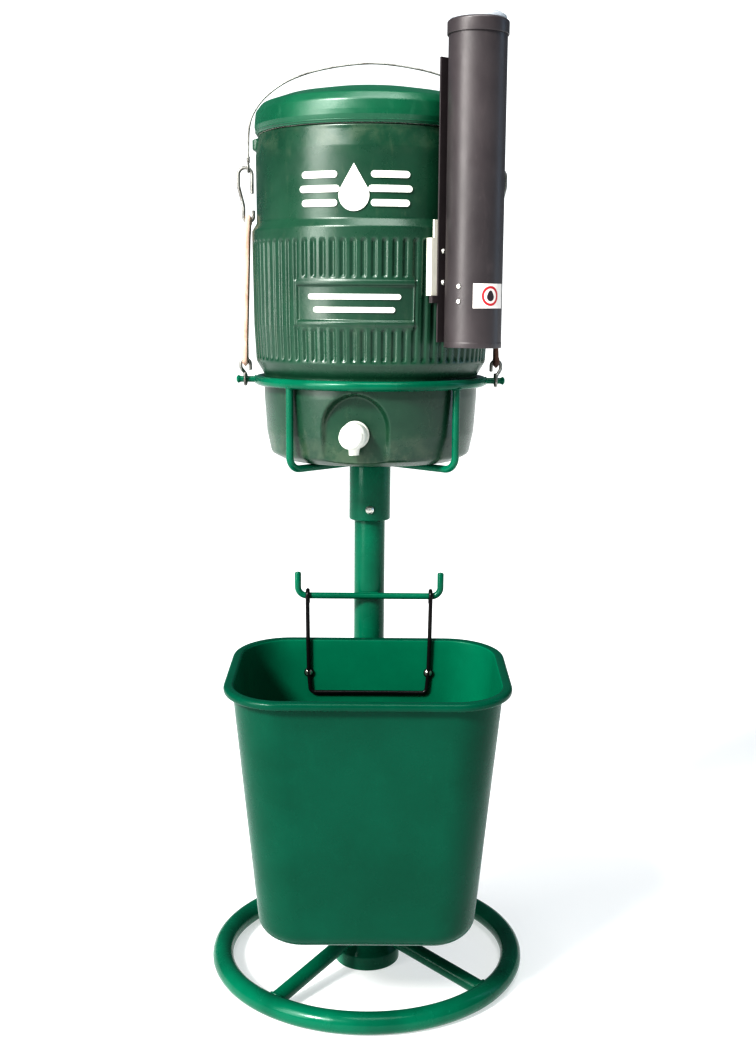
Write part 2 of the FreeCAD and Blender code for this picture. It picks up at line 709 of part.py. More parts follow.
BUTTON_BACK = f"{CAVITY} + button_travel + 0.3"
BUTTON_HEAD = f"{BARREL_END} + button_travel + 0.5"
BUTTON_NECK = "tap_barrel_radius - 4 - 0.3"
SPRING_SEAT = f"{BUTTON_HEAD} - 1"
node("tap_button", turned("tap_button", [
    (None, SPRING_SEAT), ("9", SPRING_SEAT), ("9", BUTTON_BACK), (BUTTON_NECK, BUTTON_BACK),
    (BUTTON_NECK, BUTTON_HEAD), ("button_radius", BUTTON_HEAD), ("button_radius", f"{BUTTON_HEAD} + 3"),
    ("button_radius - 2", f"{BUTTON_HEAD} + 5.5"), ("button_radius - 6", f"{BUTTON_HEAD} + 7.2"),
    (None, f"{BUTTON_HEAD} + 8")]), TAP)
STEM_HEAD = f"{SHANK_START} - 7.5"
node("tap_stem", turned("tap_stem", [
    (None, STEM_HEAD), ("stem_radius + 2", STEM_HEAD), ("stem_radius + 2", f"{STEM_HEAD} + 3"),
    ("stem_radius", f"{STEM_HEAD} + 3"), ("stem_radius", SPRING_SEAT), (None, SPRING_SEAT)]), TAP)
node("tap_seal", turned("tap_seal", [
    ("stem_radius", f"{STEM_HEAD} + 3"), ("shank_radius - 1.5", f"{STEM_HEAD} + 3"),
    ("shank_radius - 1.5", f"{SHANK_START} - 0.2"), ("stem_radius", f"{SHANK_START} - 0.2")]), TAP)
NUT_FOOT = "cooler_radius - liner_foot_inset - liner_wall - 13.6"
tap_nut_body = doc.addObject("Part::Prism", "tap_nut_body")
tap_nut_body.Polygon = 8
bind(tap_nut_body, {"Circumradius": "shank_radius + 7", "Height": "6.5"})
place(tap_nut_body, ("0", "0", NUT_FOOT))
shank_hole = cylinder("shank_hole", "shank_radius", "60", ("0", "0", f"{SHANK_START} - 20"))
node("tap_nut", cut("tap_nut", tap_nut_body, shank_hole), TAP)
node("tap_liner_washer", turned("tap_liner_washer", [
    ("shank_radius + 0.1", f"{NUT_FOOT} + 6.5"), ("shank_radius + 6", f"{NUT_FOOT} + 6.5"),
    ("shank_radius + 6", f"{NUT_FOOT} + 9"), ("shank_radius + 0.1", f"{NUT_FOOT} + 9")]), TAP)
doc.recompute()


def coil():
    """Return spring around the stem, drawn at its pressed length."""
    wire, radius, play = 0.6, 6.2, 0.2
    face = size("cooler_radius") - size("recess_inset")
    end = face + size("tap_gasket") + size("tap_length") + size("button_travel") - 0.5
    length = size("tap_length") - 18 - 2 - 0.5 - 0.3
    foot = end - length + wire + play
    rise_length = length - 2 * wire - 2 * play
    steps = 12 * SPRING_TURNS
    turns = [2 * math.pi * SPRING_TURNS * k / steps for k in range(steps + 1)]
    return rod(smooth([V(radius * math.cos(a), radius * math.sin(a), foot + rise_length * k / steps)
                       for k, a in enumerate(turns)]), wire)


node("tap_spring", solid("tap_spring", [coil()]), TAP)

# ---------------------------------------------------------------- hold-down wire, hooks and straps
foot_height = size("seat_height")
side_plane = size("cooler_radius") + size("wire_offset")
eye_height = foot_height + size("wire_eye_rise")
eye_radius = 5.75
hook_rod = size("hook_radius")
wire_rod = size("wire_radius")
strap_half = size("strap_thickness") / 2
strap_top = V(side_plane + 0.4, 0, foot_height + size("strap_top_rise"))
strap_foot = V(side_plane + 6.2, 0, foot_height + size("strap_foot_rise"))
strap_inset = 9
strap_reach = 6.5


def hold_down():
    """Wire arched over the lid that ends in an eye on each side."""
    corner = size("cooler_radius") - size("lid_corner_inset")
    crest = foot_height + size("wire_top_rise")
    run = [(side_plane + 0.2, eye_height + eye_radius), (side_plane, eye_height + 22),
           (side_plane - 1.2, crest - 84), (corner + 12.2, crest - 64), (corner - 4.3, crest - 42.7),
           (corner - 34.5, crest - 22.3), (corner - 80.4, crest - 7.5), (0, crest)]
    left = [V(-x, 0, z) for x, z in run]
    right = [V(x, 0, z) for x, z in run[-2::-1]]
    arched = rod(smooth(left + right), wire_rod)
    eye = Part.makeTorus(eye_radius, wire_rod + 0.05, V(side_plane + 0.2, 0, eye_height), V(1, 0, 0))
    return arched.fuse(both_sides(eye)).removeSplitter()


def upper_hook():
    """Hook from the eye of the wire down through the top hole of the strap."""
    crown = size("hook_bend")
    offset = size("hook_offset")
    top = (eye_height - eye_radius + wire_rod + hook_rod + size("hook_gap")
           + crown - math.sqrt(crown ** 2 - (offset + wire_rod) ** 2))
    middle = side_plane + 0.2 + offset
    hole = strap_top - V(0, 0, strap_inset + 0.5)
    side = strap_reach
    points = [V(middle - crown, 0, top - 33), V(middle - crown, 0, top), V(middle + crown, 0, top),
              V(middle + crown, 0, top - 24), hole + V(side, 0, 20), hole + V(side, 0, 0),
              hole + V(-side, 0, 0), hole + V(-side, 0, 14)]
    bends = [crown - 0.05, crown - 0.05, 25, 25, side - 0.05, side - 0.05]
    return rod(bent(points, bends), hook_rod)


def lower_hook():
    """Hook that hangs in the lower hole of the strap and passes under the peg."""
    hole = strap_foot + V(0, 0, strap_inset + 0.5)
    reach = size("peg_radius") + hook_rod + size("hook_gap")
    middle = strap_foot.x
    under = V(middle, 0, ring_height - reach)
    side = strap_reach
    points = [hole + V(-side, 0, -14), hole + V(-side, 0, 0), hole + V(side, 0, 0),
              hole + V(side, 0, -side - 5), under + V(0, -reach, reach + 6),
              under + V(0, -reach, 0), under + V(0, reach, 0), under + V(0, reach, reach + 9)]
    bends = [side - 0.05, side - 0.05, 7, 7, reach - 0.05, reach - 0.05]
    return rod(bent(points, bends), hook_rod)


def strap():
    """Flat rubber strap with a rounded, holed end top and bottom."""
    along = strap_top - strap_foot
    length = along.Length
    width = size("strap_width")
    slab = Part.makeBox(2 * strap_half, width, length - width, V(-strap_half, -width / 2, width / 2))
    sideways = V(1, 0, 0)
    discs = [Part.makeCylinder(width / 2, 2 * strap_half, V(-strap_half, 0, z), sideways)
             for z in (width / 2, length - width / 2)]
    holes = [Part.makeCylinder(4.2, 4 * strap_half, V(-2 * strap_half, 0, z), sideways)
             for z in (strap_inset, length - strap_inset)]
    body = slab.fuse(discs).removeSplitter().cut(holes)
    body.Placement = FreeCAD.Placement(strap_foot, FreeCAD.Rotation(UP, along))
    return body


right_strap = strap()
node("hold_down_wire", solid("hold_down_wire", [hold_down()]))
node("upper_hooks", solid("upper_hooks", both_sides(upper_hook())))
node("lower_hooks", solid("lower_hooks", both_sides(lower_hook())))
node("strap_right", solid("strap_right", [right_strap]))
node("strap_left", solid("strap_left", [about_z(right_strap, 180)]))

# ---------------------------------------------------------------- cup tube
TUBE_AXIS = f"{PLATE_FRONT} + 0.7 + cup_tube_radius"
TUBE_FOOT = rise("cup_tube_foot")
TUBE_TOP = rise("(cup_tube_foot + cup_tube_length)")
TUBE_INNER = "cup_tube_radius - cup_tube_wall"
tube_axis = sum(size(w) for w in ("cooler_radius", "spacer_thickness", "cup_plate_thickness",
                                  "cup_tube_radius")) + 0.7
CUP_TUBE = CUP.multiply(FreeCAD.Placement(V(tube_axis, 0, 0), LEVEL))

SCREW_AIM = -124.0
tube_screws = []
for i, height in enumerate((211, 229)):
    screw = turned(f"tube_screw_{i}", [
        (None, f"{TUBE_INNER} - 2"), ("1.6", f"{TUBE_INNER} - 2"), ("1.6", "cup_tube_radius"),
        ("3", "cup_tube_radius"), ("2.6", "cup_tube_radius + 1.4"), (None, "cup_tube_radius + 1.6")])
    aim = FreeCAD.Rotation(UP, SCREW_AIM - size("cup_angle")).multiply(OUTWARD)
    tube_screws.append(place(screw, ("0", "0", rise(f"{height}")), aim))
tube_wall = turned("tube_wall", [
    (TUBE_INNER, TUBE_FOOT), ("cup_tube_radius", TUBE_FOOT), ("cup_tube_radius", TUBE_TOP),
    (TUBE_INNER, TUBE_TOP)])
throat = turned("throat", [
    (f"{TUBE_INNER} - 7.5", TUBE_FOOT), (TUBE_INNER, TUBE_FOOT), (TUBE_INNER, f"{TUBE_FOOT} + 84"),
    (f"{TUBE_INNER} - 1.5", f"{TUBE_FOOT} + 84"), (f"{TUBE_INNER} - 1.5", f"{TUBE_FOOT} + 16"),
    (f"{TUBE_INNER} - 7.5", f"{TUBE_FOOT} + 4")])
screws = fuse("tube_screws", tube_screws)
node("tube_screws", screws, CUP_TUBE)
screw_cut = fuse("screw_cut", tube_screws)
node("cup_tube", cut("cup_tube", tube_wall, screw_cut), CUP_TUBE)
node("cup_throat", cut("cup_throat", throat, screw_cut), CUP_TUBE)

CAP_INNER = "cup_tube_radius + 0.3"
CAP_TOP = f"{TUBE_TOP} + 8"
node("cup_cap", turned("cup_cap", [
    (CAP_INNER, f"{CAP_TOP} - cup_cap_height"), (f"{CAP_INNER} + 1.2", f"{CAP_TOP} - cup_cap_height"),
    (f"{CAP_INNER} + 1.2", f"{CAP_TOP} - 2"), (f"{CAP_INNER} - 1", CAP_TOP), (None, CAP_TOP),
    (None, f"{TUBE_TOP} + 0.3"), (CAP_INNER, f"{TUBE_TOP} + 0.3")]), CUP_TUBE)
node("cap_disc", turned("cap_disc", [
    (None, CAP_TOP), ("cup_tube_radius - 1.5", CAP_TOP), ("cup_tube_radius - 2.5", f"{CAP_TOP} + 5"),
    ("cup_tube_radius - 9", f"{CAP_TOP} + 8.5"), (None, f"{CAP_TOP} + 9.5")]), CUP_TUBE)

PLATE_HALF = "cup_plate_width / 2"
PLATE_FOOT = rise("cup_plate_foot")
PLATE_TOP = rise("(cup_plate_foot + cup_plate_length)")
flat = box("plate_flat", [(PLATE_BACK, PLATE_FRONT), (f"-{PLATE_HALF}", PLATE_HALF),
                          (PLATE_FOOT, PLATE_TOP)])
rail = box("plate_rail", [(PLATE_FRONT, f"{PLATE_FRONT} + 4"), ("-9", "9"), (PLATE_FOOT, PLATE_TOP)])
lug = box("plate_lug", [(f"{PLATE_BACK} - 4", PLATE_FRONT),
                        (f"-{PLATE_HALF} - spacer_overhang", f"-{PLATE_HALF}"),
                        (rise("spacer_rise - 9"), rise("spacer_rise - 0.2"))])
tube_room = cylinder("tube_room", "cup_tube_radius", "cup_plate_length + 40",
                     (TUBE_AXIS, "0", f"{PLATE_FOOT} - 20"))
plate_solid = fuse("plate_solid", [flat, rail, lug])
heads = []
for i, (offset, height) in enumerate(PLATE_SCREWS):
    cone = doc.addObject("Part::Cone", f"plate_head_{i}")
    bind(cone, {"Radius1": "3.8", "Radius2": "2.6", "Height": "2"})
    heads.append(place(cone, (PLATE_FRONT, offset, height), OUTWARD))
plate_shanks = plate_rods("plate_shank", "2", SCREW_NEAR, PLATE_FRONT)
plate_screws = fuse("plate_screws", plate_shanks + heads)
rail_room = fuse("rail_room", [tube_room] + heads + plate_shanks)
node("cup_plate", cut("cup_plate", plate_solid, rail_room), CUP)
node("plate_screws", plate_screws, CUP)

spacer_body = box("spacer_body", [
    (inset("8"), PLATE_BACK), (f"-{PLATE_HALF} - spacer_overhang", PLATE_HALF),
    (rise("spacer_rise"), rise("(spacer_rise + spacer_height)"))])
tongue = box("spacer_tongue", [
    (f"{PLATE_BACK} - 3", PLATE_BACK), (f"-{PLATE_HALF} - 5", f"-{PLATE_HALF}"),
    (rise("(spacer_rise + spacer_height)"), rise("(spacer_rise + spacer_height + 22)"))])
band_room = cylinder("band_room", "cooler_radius + 0.3", "200", ("0", "0", rise("150")))
spacer_room = fuse("spacer_room", [band_room, fuse("spacer_holes", plate_shanks)])
node("cup_spacer", cut("cup_spacer", fuse("spacer_solid", [spacer_body, tongue]), spacer_room), CUP)

label = wedge("tube_label", "cup_tube_radius", "cup_tube_radius + 0.4", rise("203"), rise("232.5"),
              -95 - size("cup_angle"), "72")
node("tube_label", label, CUP_TUBE)

# ---------------------------------------------------------------- bin, drawn from the bar axis
BIN = FreeCAD.Placement(bar_axis, FreeCAD.Rotation(V(1, 0, 0), size("bin_tilt")))
bin_depth = size("bin_depth")
bin_middle = -size("bin_back_gap") - bin_depth / 2
rim_low = -size("bin_rim_drop") - size("bin_rim_height") / 2
bin_floor = size("bin_ground_gap") - bar_axis.z
tab_front = size("tab_thickness") + size("tab_gap")


def rounded(width, depth, corner, height):
    """Level rectangle with round corners, centred on the bin."""
    x, y = width / 2, depth / 2
    corners = [V(x, y), V(-x, y), V(-x, -y), V(x, -y)]
    points = [V(x, 0)] + corners + [V(x, 0)]
    path = bent([p + V(0, bin_middle, height) for p in points], [corner] * 4)
    return path


def bin_section(height, shrink):
    """Outline of the bin wall at a height below the bar, moved inwards by shrink."""
    share = (height - bin_floor) / (rim_low - bin_floor)
    overhang = 2 * size("bin_rim_overhang")
    sizes = [(size("bin_foot_width"), size("bin_width") - overhang),
             (size("bin_foot_depth"), bin_depth - overhang),
             (size("bin_foot_corner"), size("bin_corner") - size("bin_rim_overhang"))]
    width, depth, corner = [low + share * (high - low) for low, high in sizes]
    return rounded(width - 2 * shrink, depth - 2 * shrink, corner - shrink, height)


def bin_block(inward, floor):
    """Solid inside the wall, with a rounded lower edge."""
    radius = size("bin_edge_round") - inward
    steps = [math.radians(a) for a in (0, 22.5, 45, 67.5, 90)]
    sections = [bin_section(floor + radius * (1 - math.cos(a)), inward + radius * (1 - math.sin(a)))
                for a in steps]
    sections.append(bin_section(-size("bin_rim_drop") + size("bin_rim_height") / 2 + inward, inward))
    return Part.makeLoft(sections, True, True)


def bin_shape():
    """Tapered bin with a rolled rim."""
    wall = size("bin_wall")
    outer = bin_block(0.0, bin_floor)
    inner = bin_block(wall, bin_floor + wall)
    rim_face = Part.Face(rounded(size("bin_width"), bin_depth, size("bin_corner"), rim_low))
    rim = rim_face.extrude(V(0, 0, size("bin_rim_height")))
    edges = [e for e in rim.Edges if abs(e.BoundBox.ZMin - e.BoundBox.ZMax) < 1e-6]
    rim = rim.makeFillet(size("bin_rim_height") / 2 - 0.6, edges)
    body = outer.fuse(rim).cut(inner)
    return max(body.Solids, key=lambda piece: piece.Volume)


def bin_screw(side):
    """Dome-headed screw through the hanger's tab and the back wall."""
    centre = V(side * size("bin_screw_spread"), 0, -size("bin_screw_drop"))
    face = wall_face(-size("bin_screw_drop")) - tab_front
    back = V(0, 1, 0)
    head = Part.makeCone(3, 5, 2, centre + V(0, face - 2, 0), back)
    shank = Part.makeCylinder(2.4, 13, centre + V(0, face, 0), back)
    return head.fuse(shank).removeSplitter()


def wall_face(height):
    """Position of the inside of the back wall at a height below the bar."""
    share = (height - bin_floor) / (rim_low - bin_floor)
    taper = (bin_depth - 2 * size("bin_rim_overhang") - size("bin_foot_depth")) / 2
    return (-size("bin_back_gap") - size("bin_rim_overhang") - size("bin_wall")
            - (1 - share) * taper)


def hanger():
    """Wire frame that hooks over the bar and runs down inside the bin."""
    wire = size("hanger_radius")
    loop = size("bar_radius") + size("hanger_gap") + wire
    spread, screw = size("hanger_spread"), size("bin_screw_spread")
    drop = -size("bin_screw_drop")
    lean = wire + 0.4
    leg = [V(spread, loop, -12), V(spread, loop, loop), V(spread, -loop, loop), V(spread, -loop, -6),
           V(spread - 1, wall_face(rim_low) - lean, rim_low + 12),
           V(screw, wall_face(drop) - lean, drop),
           V(screw - 2.5, wall_face(drop - 28) - lean, drop - 28)]
    mirrored = [V(-p.x, p.y, p.z) for p in leg[::-1]]
    bends = [loop - 0.05, loop - 0.05, 14, 14, 14, 7]
    frame = rod(bent(leg + mirrored, bends + bends[::-1]), wire)
    tabs = [Part.makeCylinder(size("tab_radius"), size("tab_thickness"),
                              V(side * screw, wall_face(drop) - tab_front, drop), V(0, 1, 0))
            for side in SIDES]
    return frame.fuse(tabs).removeSplitter()


def bin_nut(side):
    """Hexagon nut behind the back wall."""
    face = wall_face(-size("bin_screw_drop")) + size("bin_wall") + 0.5
    centre = V(side * size("bin_screw_spread"), face, -size("bin_screw_drop"))
    ring_points = [centre + V(5 * math.cos(a), 0, 5 * math.sin(a))
                   for a in [math.radians(60 * k) for k in range(7)]]
    return Part.Face(Part.makePolygon(ring_points)).extrude(V(0, 3.5, 0))


bin_screws = [bin_screw(side) for side in SIDES]
bin_body = bin_shape().cut(bin_screws)
node("bin", solid("bin", bin_body.Solids), BIN)
node("bin_hanger", solid("bin_hanger", hanger().cut(bin_screws).Solids), BIN)
node("bin_screws", solid("bin_screws", bin_screws), BIN)
node("bin_nuts", solid("bin_nuts", [bin_nut(side).cut(bin_screws) for side in SIDES]), BIN)

# ---------------------------------------------------------------- check and write
doc.recompute()
for obj in doc.Objects:
    if "Invalid" in obj.State or "Error" in obj.State:
        raise RuntimeError(f"{obj.Name} did not compute: {obj.State}")
os.makedirs("parts", exist_ok=True)
for name, obj in NODES.items():
    if obj.Shape.isNull() or not obj.Shape.isValid() or not obj.Shape.Solids:
        raise RuntimeError(f"{name} has no valid solid")
    obj.Shape.exportStep(f"parts/{name}.step")
    bounds = obj.Shape.BoundBox
    print(f"{name:18s} solids {len(obj.Shape.Solids)}  z {bounds.ZMin:8.1f} {bounds.ZMax:8.1f}")
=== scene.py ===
import math

import bmesh
import bpy
from mathutils import Matrix, Vector, noise


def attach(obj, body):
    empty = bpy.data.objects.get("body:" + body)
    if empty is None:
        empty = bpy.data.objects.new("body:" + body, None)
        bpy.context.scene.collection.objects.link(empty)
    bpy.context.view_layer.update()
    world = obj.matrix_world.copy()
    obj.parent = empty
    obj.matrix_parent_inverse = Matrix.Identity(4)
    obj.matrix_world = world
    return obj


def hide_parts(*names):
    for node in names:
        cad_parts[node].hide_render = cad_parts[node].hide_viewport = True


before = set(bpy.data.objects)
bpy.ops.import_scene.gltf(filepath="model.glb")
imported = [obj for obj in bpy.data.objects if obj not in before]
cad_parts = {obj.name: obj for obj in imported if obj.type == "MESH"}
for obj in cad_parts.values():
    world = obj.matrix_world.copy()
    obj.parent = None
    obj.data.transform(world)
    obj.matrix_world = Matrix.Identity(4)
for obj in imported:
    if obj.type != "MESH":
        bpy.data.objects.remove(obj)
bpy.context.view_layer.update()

MM = 0.001
SEAT = 734.0
COOLER_R = 158.8
COOLER_TURN = math.radians(-8)
CUP_AXIS = (125.9, -160.0)
CUP_R = 35.5
IDENTITY = Matrix.Identity(4)
COOLER = Matrix.Rotation(COOLER_TURN, 4, "Z")
BIN = (Matrix.Translation(Vector((0, -25.45, 544.7)) * MM)
       @ Matrix.Rotation(math.radians(3.5), 4, "X"))


# ------------------------------------------------------------------ materials
class Shader:
    """Node tree of one material, with short calls for the nodes it uses."""

    def __init__(self, name):
        self.material = bpy.data.materials.new(name)
        self.material.use_nodes = True
        self.tree = self.material.node_tree
        self.surface = self.tree.nodes["Principled BSDF"]
        coordinates = self.tree.nodes.new("ShaderNodeTexCoord")
        self.place = coordinates.outputs["Object"]

    def link(self, source, target):
        self.tree.links.new(source, target)

    def noise(self, scale, detail=4.0, roughness=0.55, stretch=None, distortion=0.0):
        node = self.tree.nodes.new("ShaderNodeTexNoise")
        node.inputs["Scale"].default_value = scale
        node.inputs["Detail"].default_value = detail
        node.inputs["Roughness"].default_value = roughness
        node.inputs["Distortion"].default_value = distortion
        self.link(self.stretched(stretch), node.inputs["Vector"])
        return node.outputs["Fac"]

    def stretched(self, stretch):
        if stretch is None:
            return self.place
        mapping = self.tree.nodes.new("ShaderNodeMapping")
        mapping.inputs["Scale"].default_value = stretch
        self.link(self.place, mapping.inputs["Vector"])
        return mapping.outputs["Vector"]

    def remap(self, value, low, high, to_low=0.0, to_high=1.0):
        node = self.tree.nodes.new("ShaderNodeMapRange")
        node.interpolation_type = "SMOOTHSTEP"
        self.link(value, node.inputs["Value"])
        for socket, number in zip(("From Min", "From Max", "To Min", "To Max"),
                                  (low, high, to_low, to_high)):
            node.inputs[socket].default_value = number
        return node.outputs["Result"]

    def times(self, first, second):
        node = self.tree.nodes.new("ShaderNodeMath")
        node.operation = "MULTIPLY"
        self.link(first, node.inputs[0])
        if isinstance(second, float):
            node.inputs[1].default_value = second
        else:
            self.link(second, node.inputs[1])
        return node.outputs[0]

    def blend(self, share, first, second):
        """Colour between two colours or sockets."""
        node = self.tree.nodes.new("ShaderNodeMix")
        node.data_type = "RGBA"
        self.link(share, node.inputs["Factor"])
        for socket, value in zip((node.inputs[6], node.inputs[7]), (first, second)):
            if isinstance(value, tuple):
                socket.default_value = (*value, 1.0)
            else:
                self.link(value, socket)
        return node.outputs[2]

    def height(self, low, high):
        """0 below the low height and 1 above the high one, in metres."""
        axes = self.tree.nodes.new("ShaderNodeSeparateXYZ")
        self.link(self.place, axes.inputs[0])
        return self.remap(axes.outputs["Z"], low, high)

    def bump(self, value, distance, strength=0.5, under=None):
        node = self.tree.nodes.new("ShaderNodeBump")
        node.inputs["Distance"].default_value = distance
        node.inputs["Strength"].default_value = strength
        self.link(value, node.inputs["Height"])
        if under is not None:
            self.link(under, node.inputs["Normal"])
        return node.outputs["Normal"]

    def finish(self, color, roughness, normal=None, **fixed):
        self.link(color, self.surface.inputs["Base Color"])
        self.link(roughness, self.surface.inputs["Roughness"])
        if normal is not None:
            self.link(normal, self.surface.inputs["Normal"])
        for socket, number in fixed.items():
            self.surface.inputs[socket.replace("_", " ")].default_value = number
        return self.material


def srgb(red, green, blue):
    """Linear colour from display values of 0 to 255."""
    return tuple((c / 255 / 12.92) if c <= 10 else ((c / 255 + 0.055) / 1.055) ** 2.4
                 for c in (red, green, blue))


def powder_coat(name, base, deep, pale):
    """Glossy powder coat with orange peel, uneven gloss, dust and small rubbed marks."""
    s = Shader(name)
    color = s.blend(s.remap(s.noise(9, 3), 0.35, 0.7), base, deep)
    scratches = s.times(s.remap(s.noise(160, 6, 0.7, (1, 1, 0.25)), 0.62, 0.78), 0.35)
    color = s.blend(scratches, color, pale)
    grime = s.times(s.remap(s.noise(35, 5, 0.65), 0.58, 0.75), 0.25)
    color = s.blend(grime, color, deep)
    rough = s.remap(s.noise(24, 5), 0.3, 0.75, 0.16, 0.34)
    peel = s.bump(s.noise(520, 2), 0.0006, 0.10)
    waves = s.bump(s.noise(45, 3), 0.002, 0.12, peel)
    return s.finish(color, rough, waves, Specular_IOR_Level=0.22, IOR=1.5)


def moulded(name, base, deep, pale, rough=(0.32, 0.5), scuffed=(0.0, 0.0), grain=900.0,
            gleam=0.3):
    """Moulded plastic with fine grain, cloudy colour, dull patches and pale scuffs."""
    s = Shader(name)
    color = s.blend(s.remap(s.noise(7, 4, 0.6), 0.3, 0.72), base, deep)
    streaks = s.remap(s.noise(38, 7, 0.72, (1.4, 1.4, 0.45), 0.4), 0.52, 0.78)
    color = s.blend(s.times(streaks, 0.16), color, pale)
    marks = s.remap(s.noise(120, 8, 0.75, (1, 1, 0.35)), 0.60, 0.72)
    color = s.blend(s.times(marks, 0.20), color, pale)
    top, foot = scuffed
    if top > 0:
        band = s.times(s.height(top - 0.035, top), s.remap(s.noise(26, 7, 0.7), 0.42, 0.66))
        color = s.blend(s.times(band, 0.22), color, pale)
    if foot > 0:
        low = s.tree.nodes.new("ShaderNodeMath")
        low.operation = "SUBTRACT"
        low.inputs[0].default_value = 1.0
        s.link(s.height(foot, foot + 0.05), low.inputs[1])
        band = s.times(low.outputs[0], s.remap(s.noise(30, 7, 0.7), 0.42, 0.68))
        color = s.blend(s.times(band, 0.30), color, pale)
    gloss = s.remap(s.noise(16, 6, 0.65), 0.3, 0.75, *rough)
    fine = s.bump(s.noise(grain, 3), 0.0004, 0.18)
    soft = s.bump(s.noise(30, 3), 0.003, 0.10, fine)
    return s.finish(color, gloss, soft, Specular_IOR_Level=gleam, IOR=1.49)


def metal(name, base, deep, rough=(0.28, 0.5), spots=None):
    """Plated wire or fastener with dull patches, draw lines and a few stains."""
    s = Shader(name)
    color = s.blend(s.remap(s.noise(60, 5), 0.35, 0.7), base, deep)
    if spots is not None:
        stain = s.remap(s.noise(240, 6, 0.7), 0.60, 0.72)
        color = s.blend(s.times(stain, 0.5), color, spots)
    gloss = s.remap(s.noise(130, 5), 0.3, 0.7, *rough)
    lines = s.bump(s.noise(420, 4, 0.6, (1, 1, 0.1)), 0.0003, 0.25)
    return s.finish(color, gloss, lines, Metallic=0.95)


def rubber(name, base, deep, pale):
    """Dusty rubber with a fine bloom and small creases."""
    s = Shader(name)
    color = s.blend(s.remap(s.noise(28, 5), 0.35, 0.68), base, deep)
    bloom = s.remap(s.noise(150, 7, 0.7, (1, 1, 0.4)), 0.48, 0.7)
    color = s.blend(s.times(bloom, 0.45), color, pale)
    gloss = s.remap(s.noise(70, 4), 0.3, 0.7, 0.55, 0.8)
    fine = s.bump(s.noise(700, 4), 0.0005, 0.35)
    creases = s.bump(s.noise(90, 4, 0.6, (1, 1, 2.5)), 0.0012, 0.25, fine)
    return s.finish(color, gloss, creases, Specular_IOR_Level=0.35)


def printed(name, base, deep, wear):
    """Printed or moulded marking with worn flecks."""
    s = Shader(name)
    color = s.blend(s.remap(s.noise(40, 5), 0.35, 0.7), base, deep)
    flecks = s.remap(s.noise(260, 7, 0.75), 0.63, 0.72)
    color = s.blend(s.times(flecks, 0.55), color, wear)
    gloss = s.remap(s.noise(90, 4), 0.3, 0.7, 0.35, 0.6)
    return s.finish(color, gloss, s.bump(s.noise(800, 3), 0.0003, 0.25))


GREEN = powder_coat("stand_green_coat", srgb(0, 100, 75), srgb(0, 82, 61), srgb(56, 134, 110))
SHELL = moulded("cooler_forest_plastic", srgb(26, 68, 49), srgb(18, 56, 40), srgb(104, 112, 92),
                (0.24, 0.38), (1.150, 0.745), gleam=0.6)
LID = moulded("lid_green_plastic", srgb(14, 86, 60), srgb(8, 74, 52), srgb(96, 140, 118),
              (0.26, 0.40), gleam=0.6)
WHITE = moulded("white_plastic", srgb(228, 228, 222), srgb(214, 214, 206), srgb(244, 244, 240),
                (0.22, 0.36))
BIN_GREEN = moulded("bin_green_plastic", srgb(0, 74, 56), srgb(0, 66, 49), srgb(12, 92, 70),
                    (0.22, 0.32), grain=500.0, gleam=0.14)
# Lighter copy of the bin plastic for the inner faces: painted light falling inside the tub, while the
# outside keeps the darker plastic.
BIN_INSIDE_PAINTED_LIGHT = moulded("bin_inner_painted_light", srgb(0, 104, 77), srgb(0, 94, 70), srgb(12, 118, 90),
                     (0.30, 0.42), grain=500.0, gleam=0.08)
CHARCOAL = moulded("charcoal_plastic", srgb(60, 54, 56), srgb(50, 45, 47), srgb(100, 90, 90),
                   (0.36, 0.48), gleam=0.7)
CAP_GREY = moulded("cap_grey_plastic", srgb(188, 192, 196), srgb(170, 176, 182), srgb(216, 220, 222),
                   (0.25, 0.4))
SPACER = moulded("spacer_white_plastic", srgb(226, 224, 212), srgb(210, 208, 196), srgb(238, 238, 230),
                 (0.35, 0.5))
FOAM = moulded("insulating_foam", srgb(226, 212, 164), srgb(206, 190, 140), srgb(238, 230, 196),
               (0.8, 0.95), grain=300.0)
ZINC = metal("zinc_fastener", srgb(214, 214, 208), srgb(180, 180, 174), (0.22, 0.4))
WIRE = metal("galvanised_wire", srgb(160, 160, 156), srgb(112, 110, 106), (0.32, 0.55),
             srgb(110, 76, 54))
BLACK_WIRE = powder_coat("black_wire_coat", srgb(24, 22, 22), srgb(14, 14, 16), srgb(96, 72, 56))
DARK_RUBBER = rubber("dark_rubber", srgb(40, 38, 38), srgb(26, 25, 26), srgb(88, 80, 76))
# Both straps are the same dark rubber: the left one is coloured pale as painted sunlight, the right one
# dark as painted shade.
STRAP_LEFT_PAINTED_SUNLIT = rubber("strap_rubber_painted_sunlit", srgb(192, 164, 148), srgb(160, 130, 114), srgb(220, 204, 192))
STRAP_RIGHT_PAINTED_SHADE = rubber("strap_rubber_painted_shade", srgb(92, 66, 58), srgb(60, 42, 40), srgb(136, 116, 104))
MARKING = printed("white_marking", srgb(232, 232, 226), srgb(214, 216, 208), srgb(128, 150, 130))
PAPER = printed("label_white", srgb(230, 226, 222), srgb(216, 210, 204), srgb(190, 180, 174))
RED = printed("label_red", srgb(190, 44, 52), srgb(172, 34, 44), srgb(214, 144, 140))
INK = printed("label_ink", srgb(52, 38, 44), srgb(38, 28, 34), srgb(110, 96, 96))


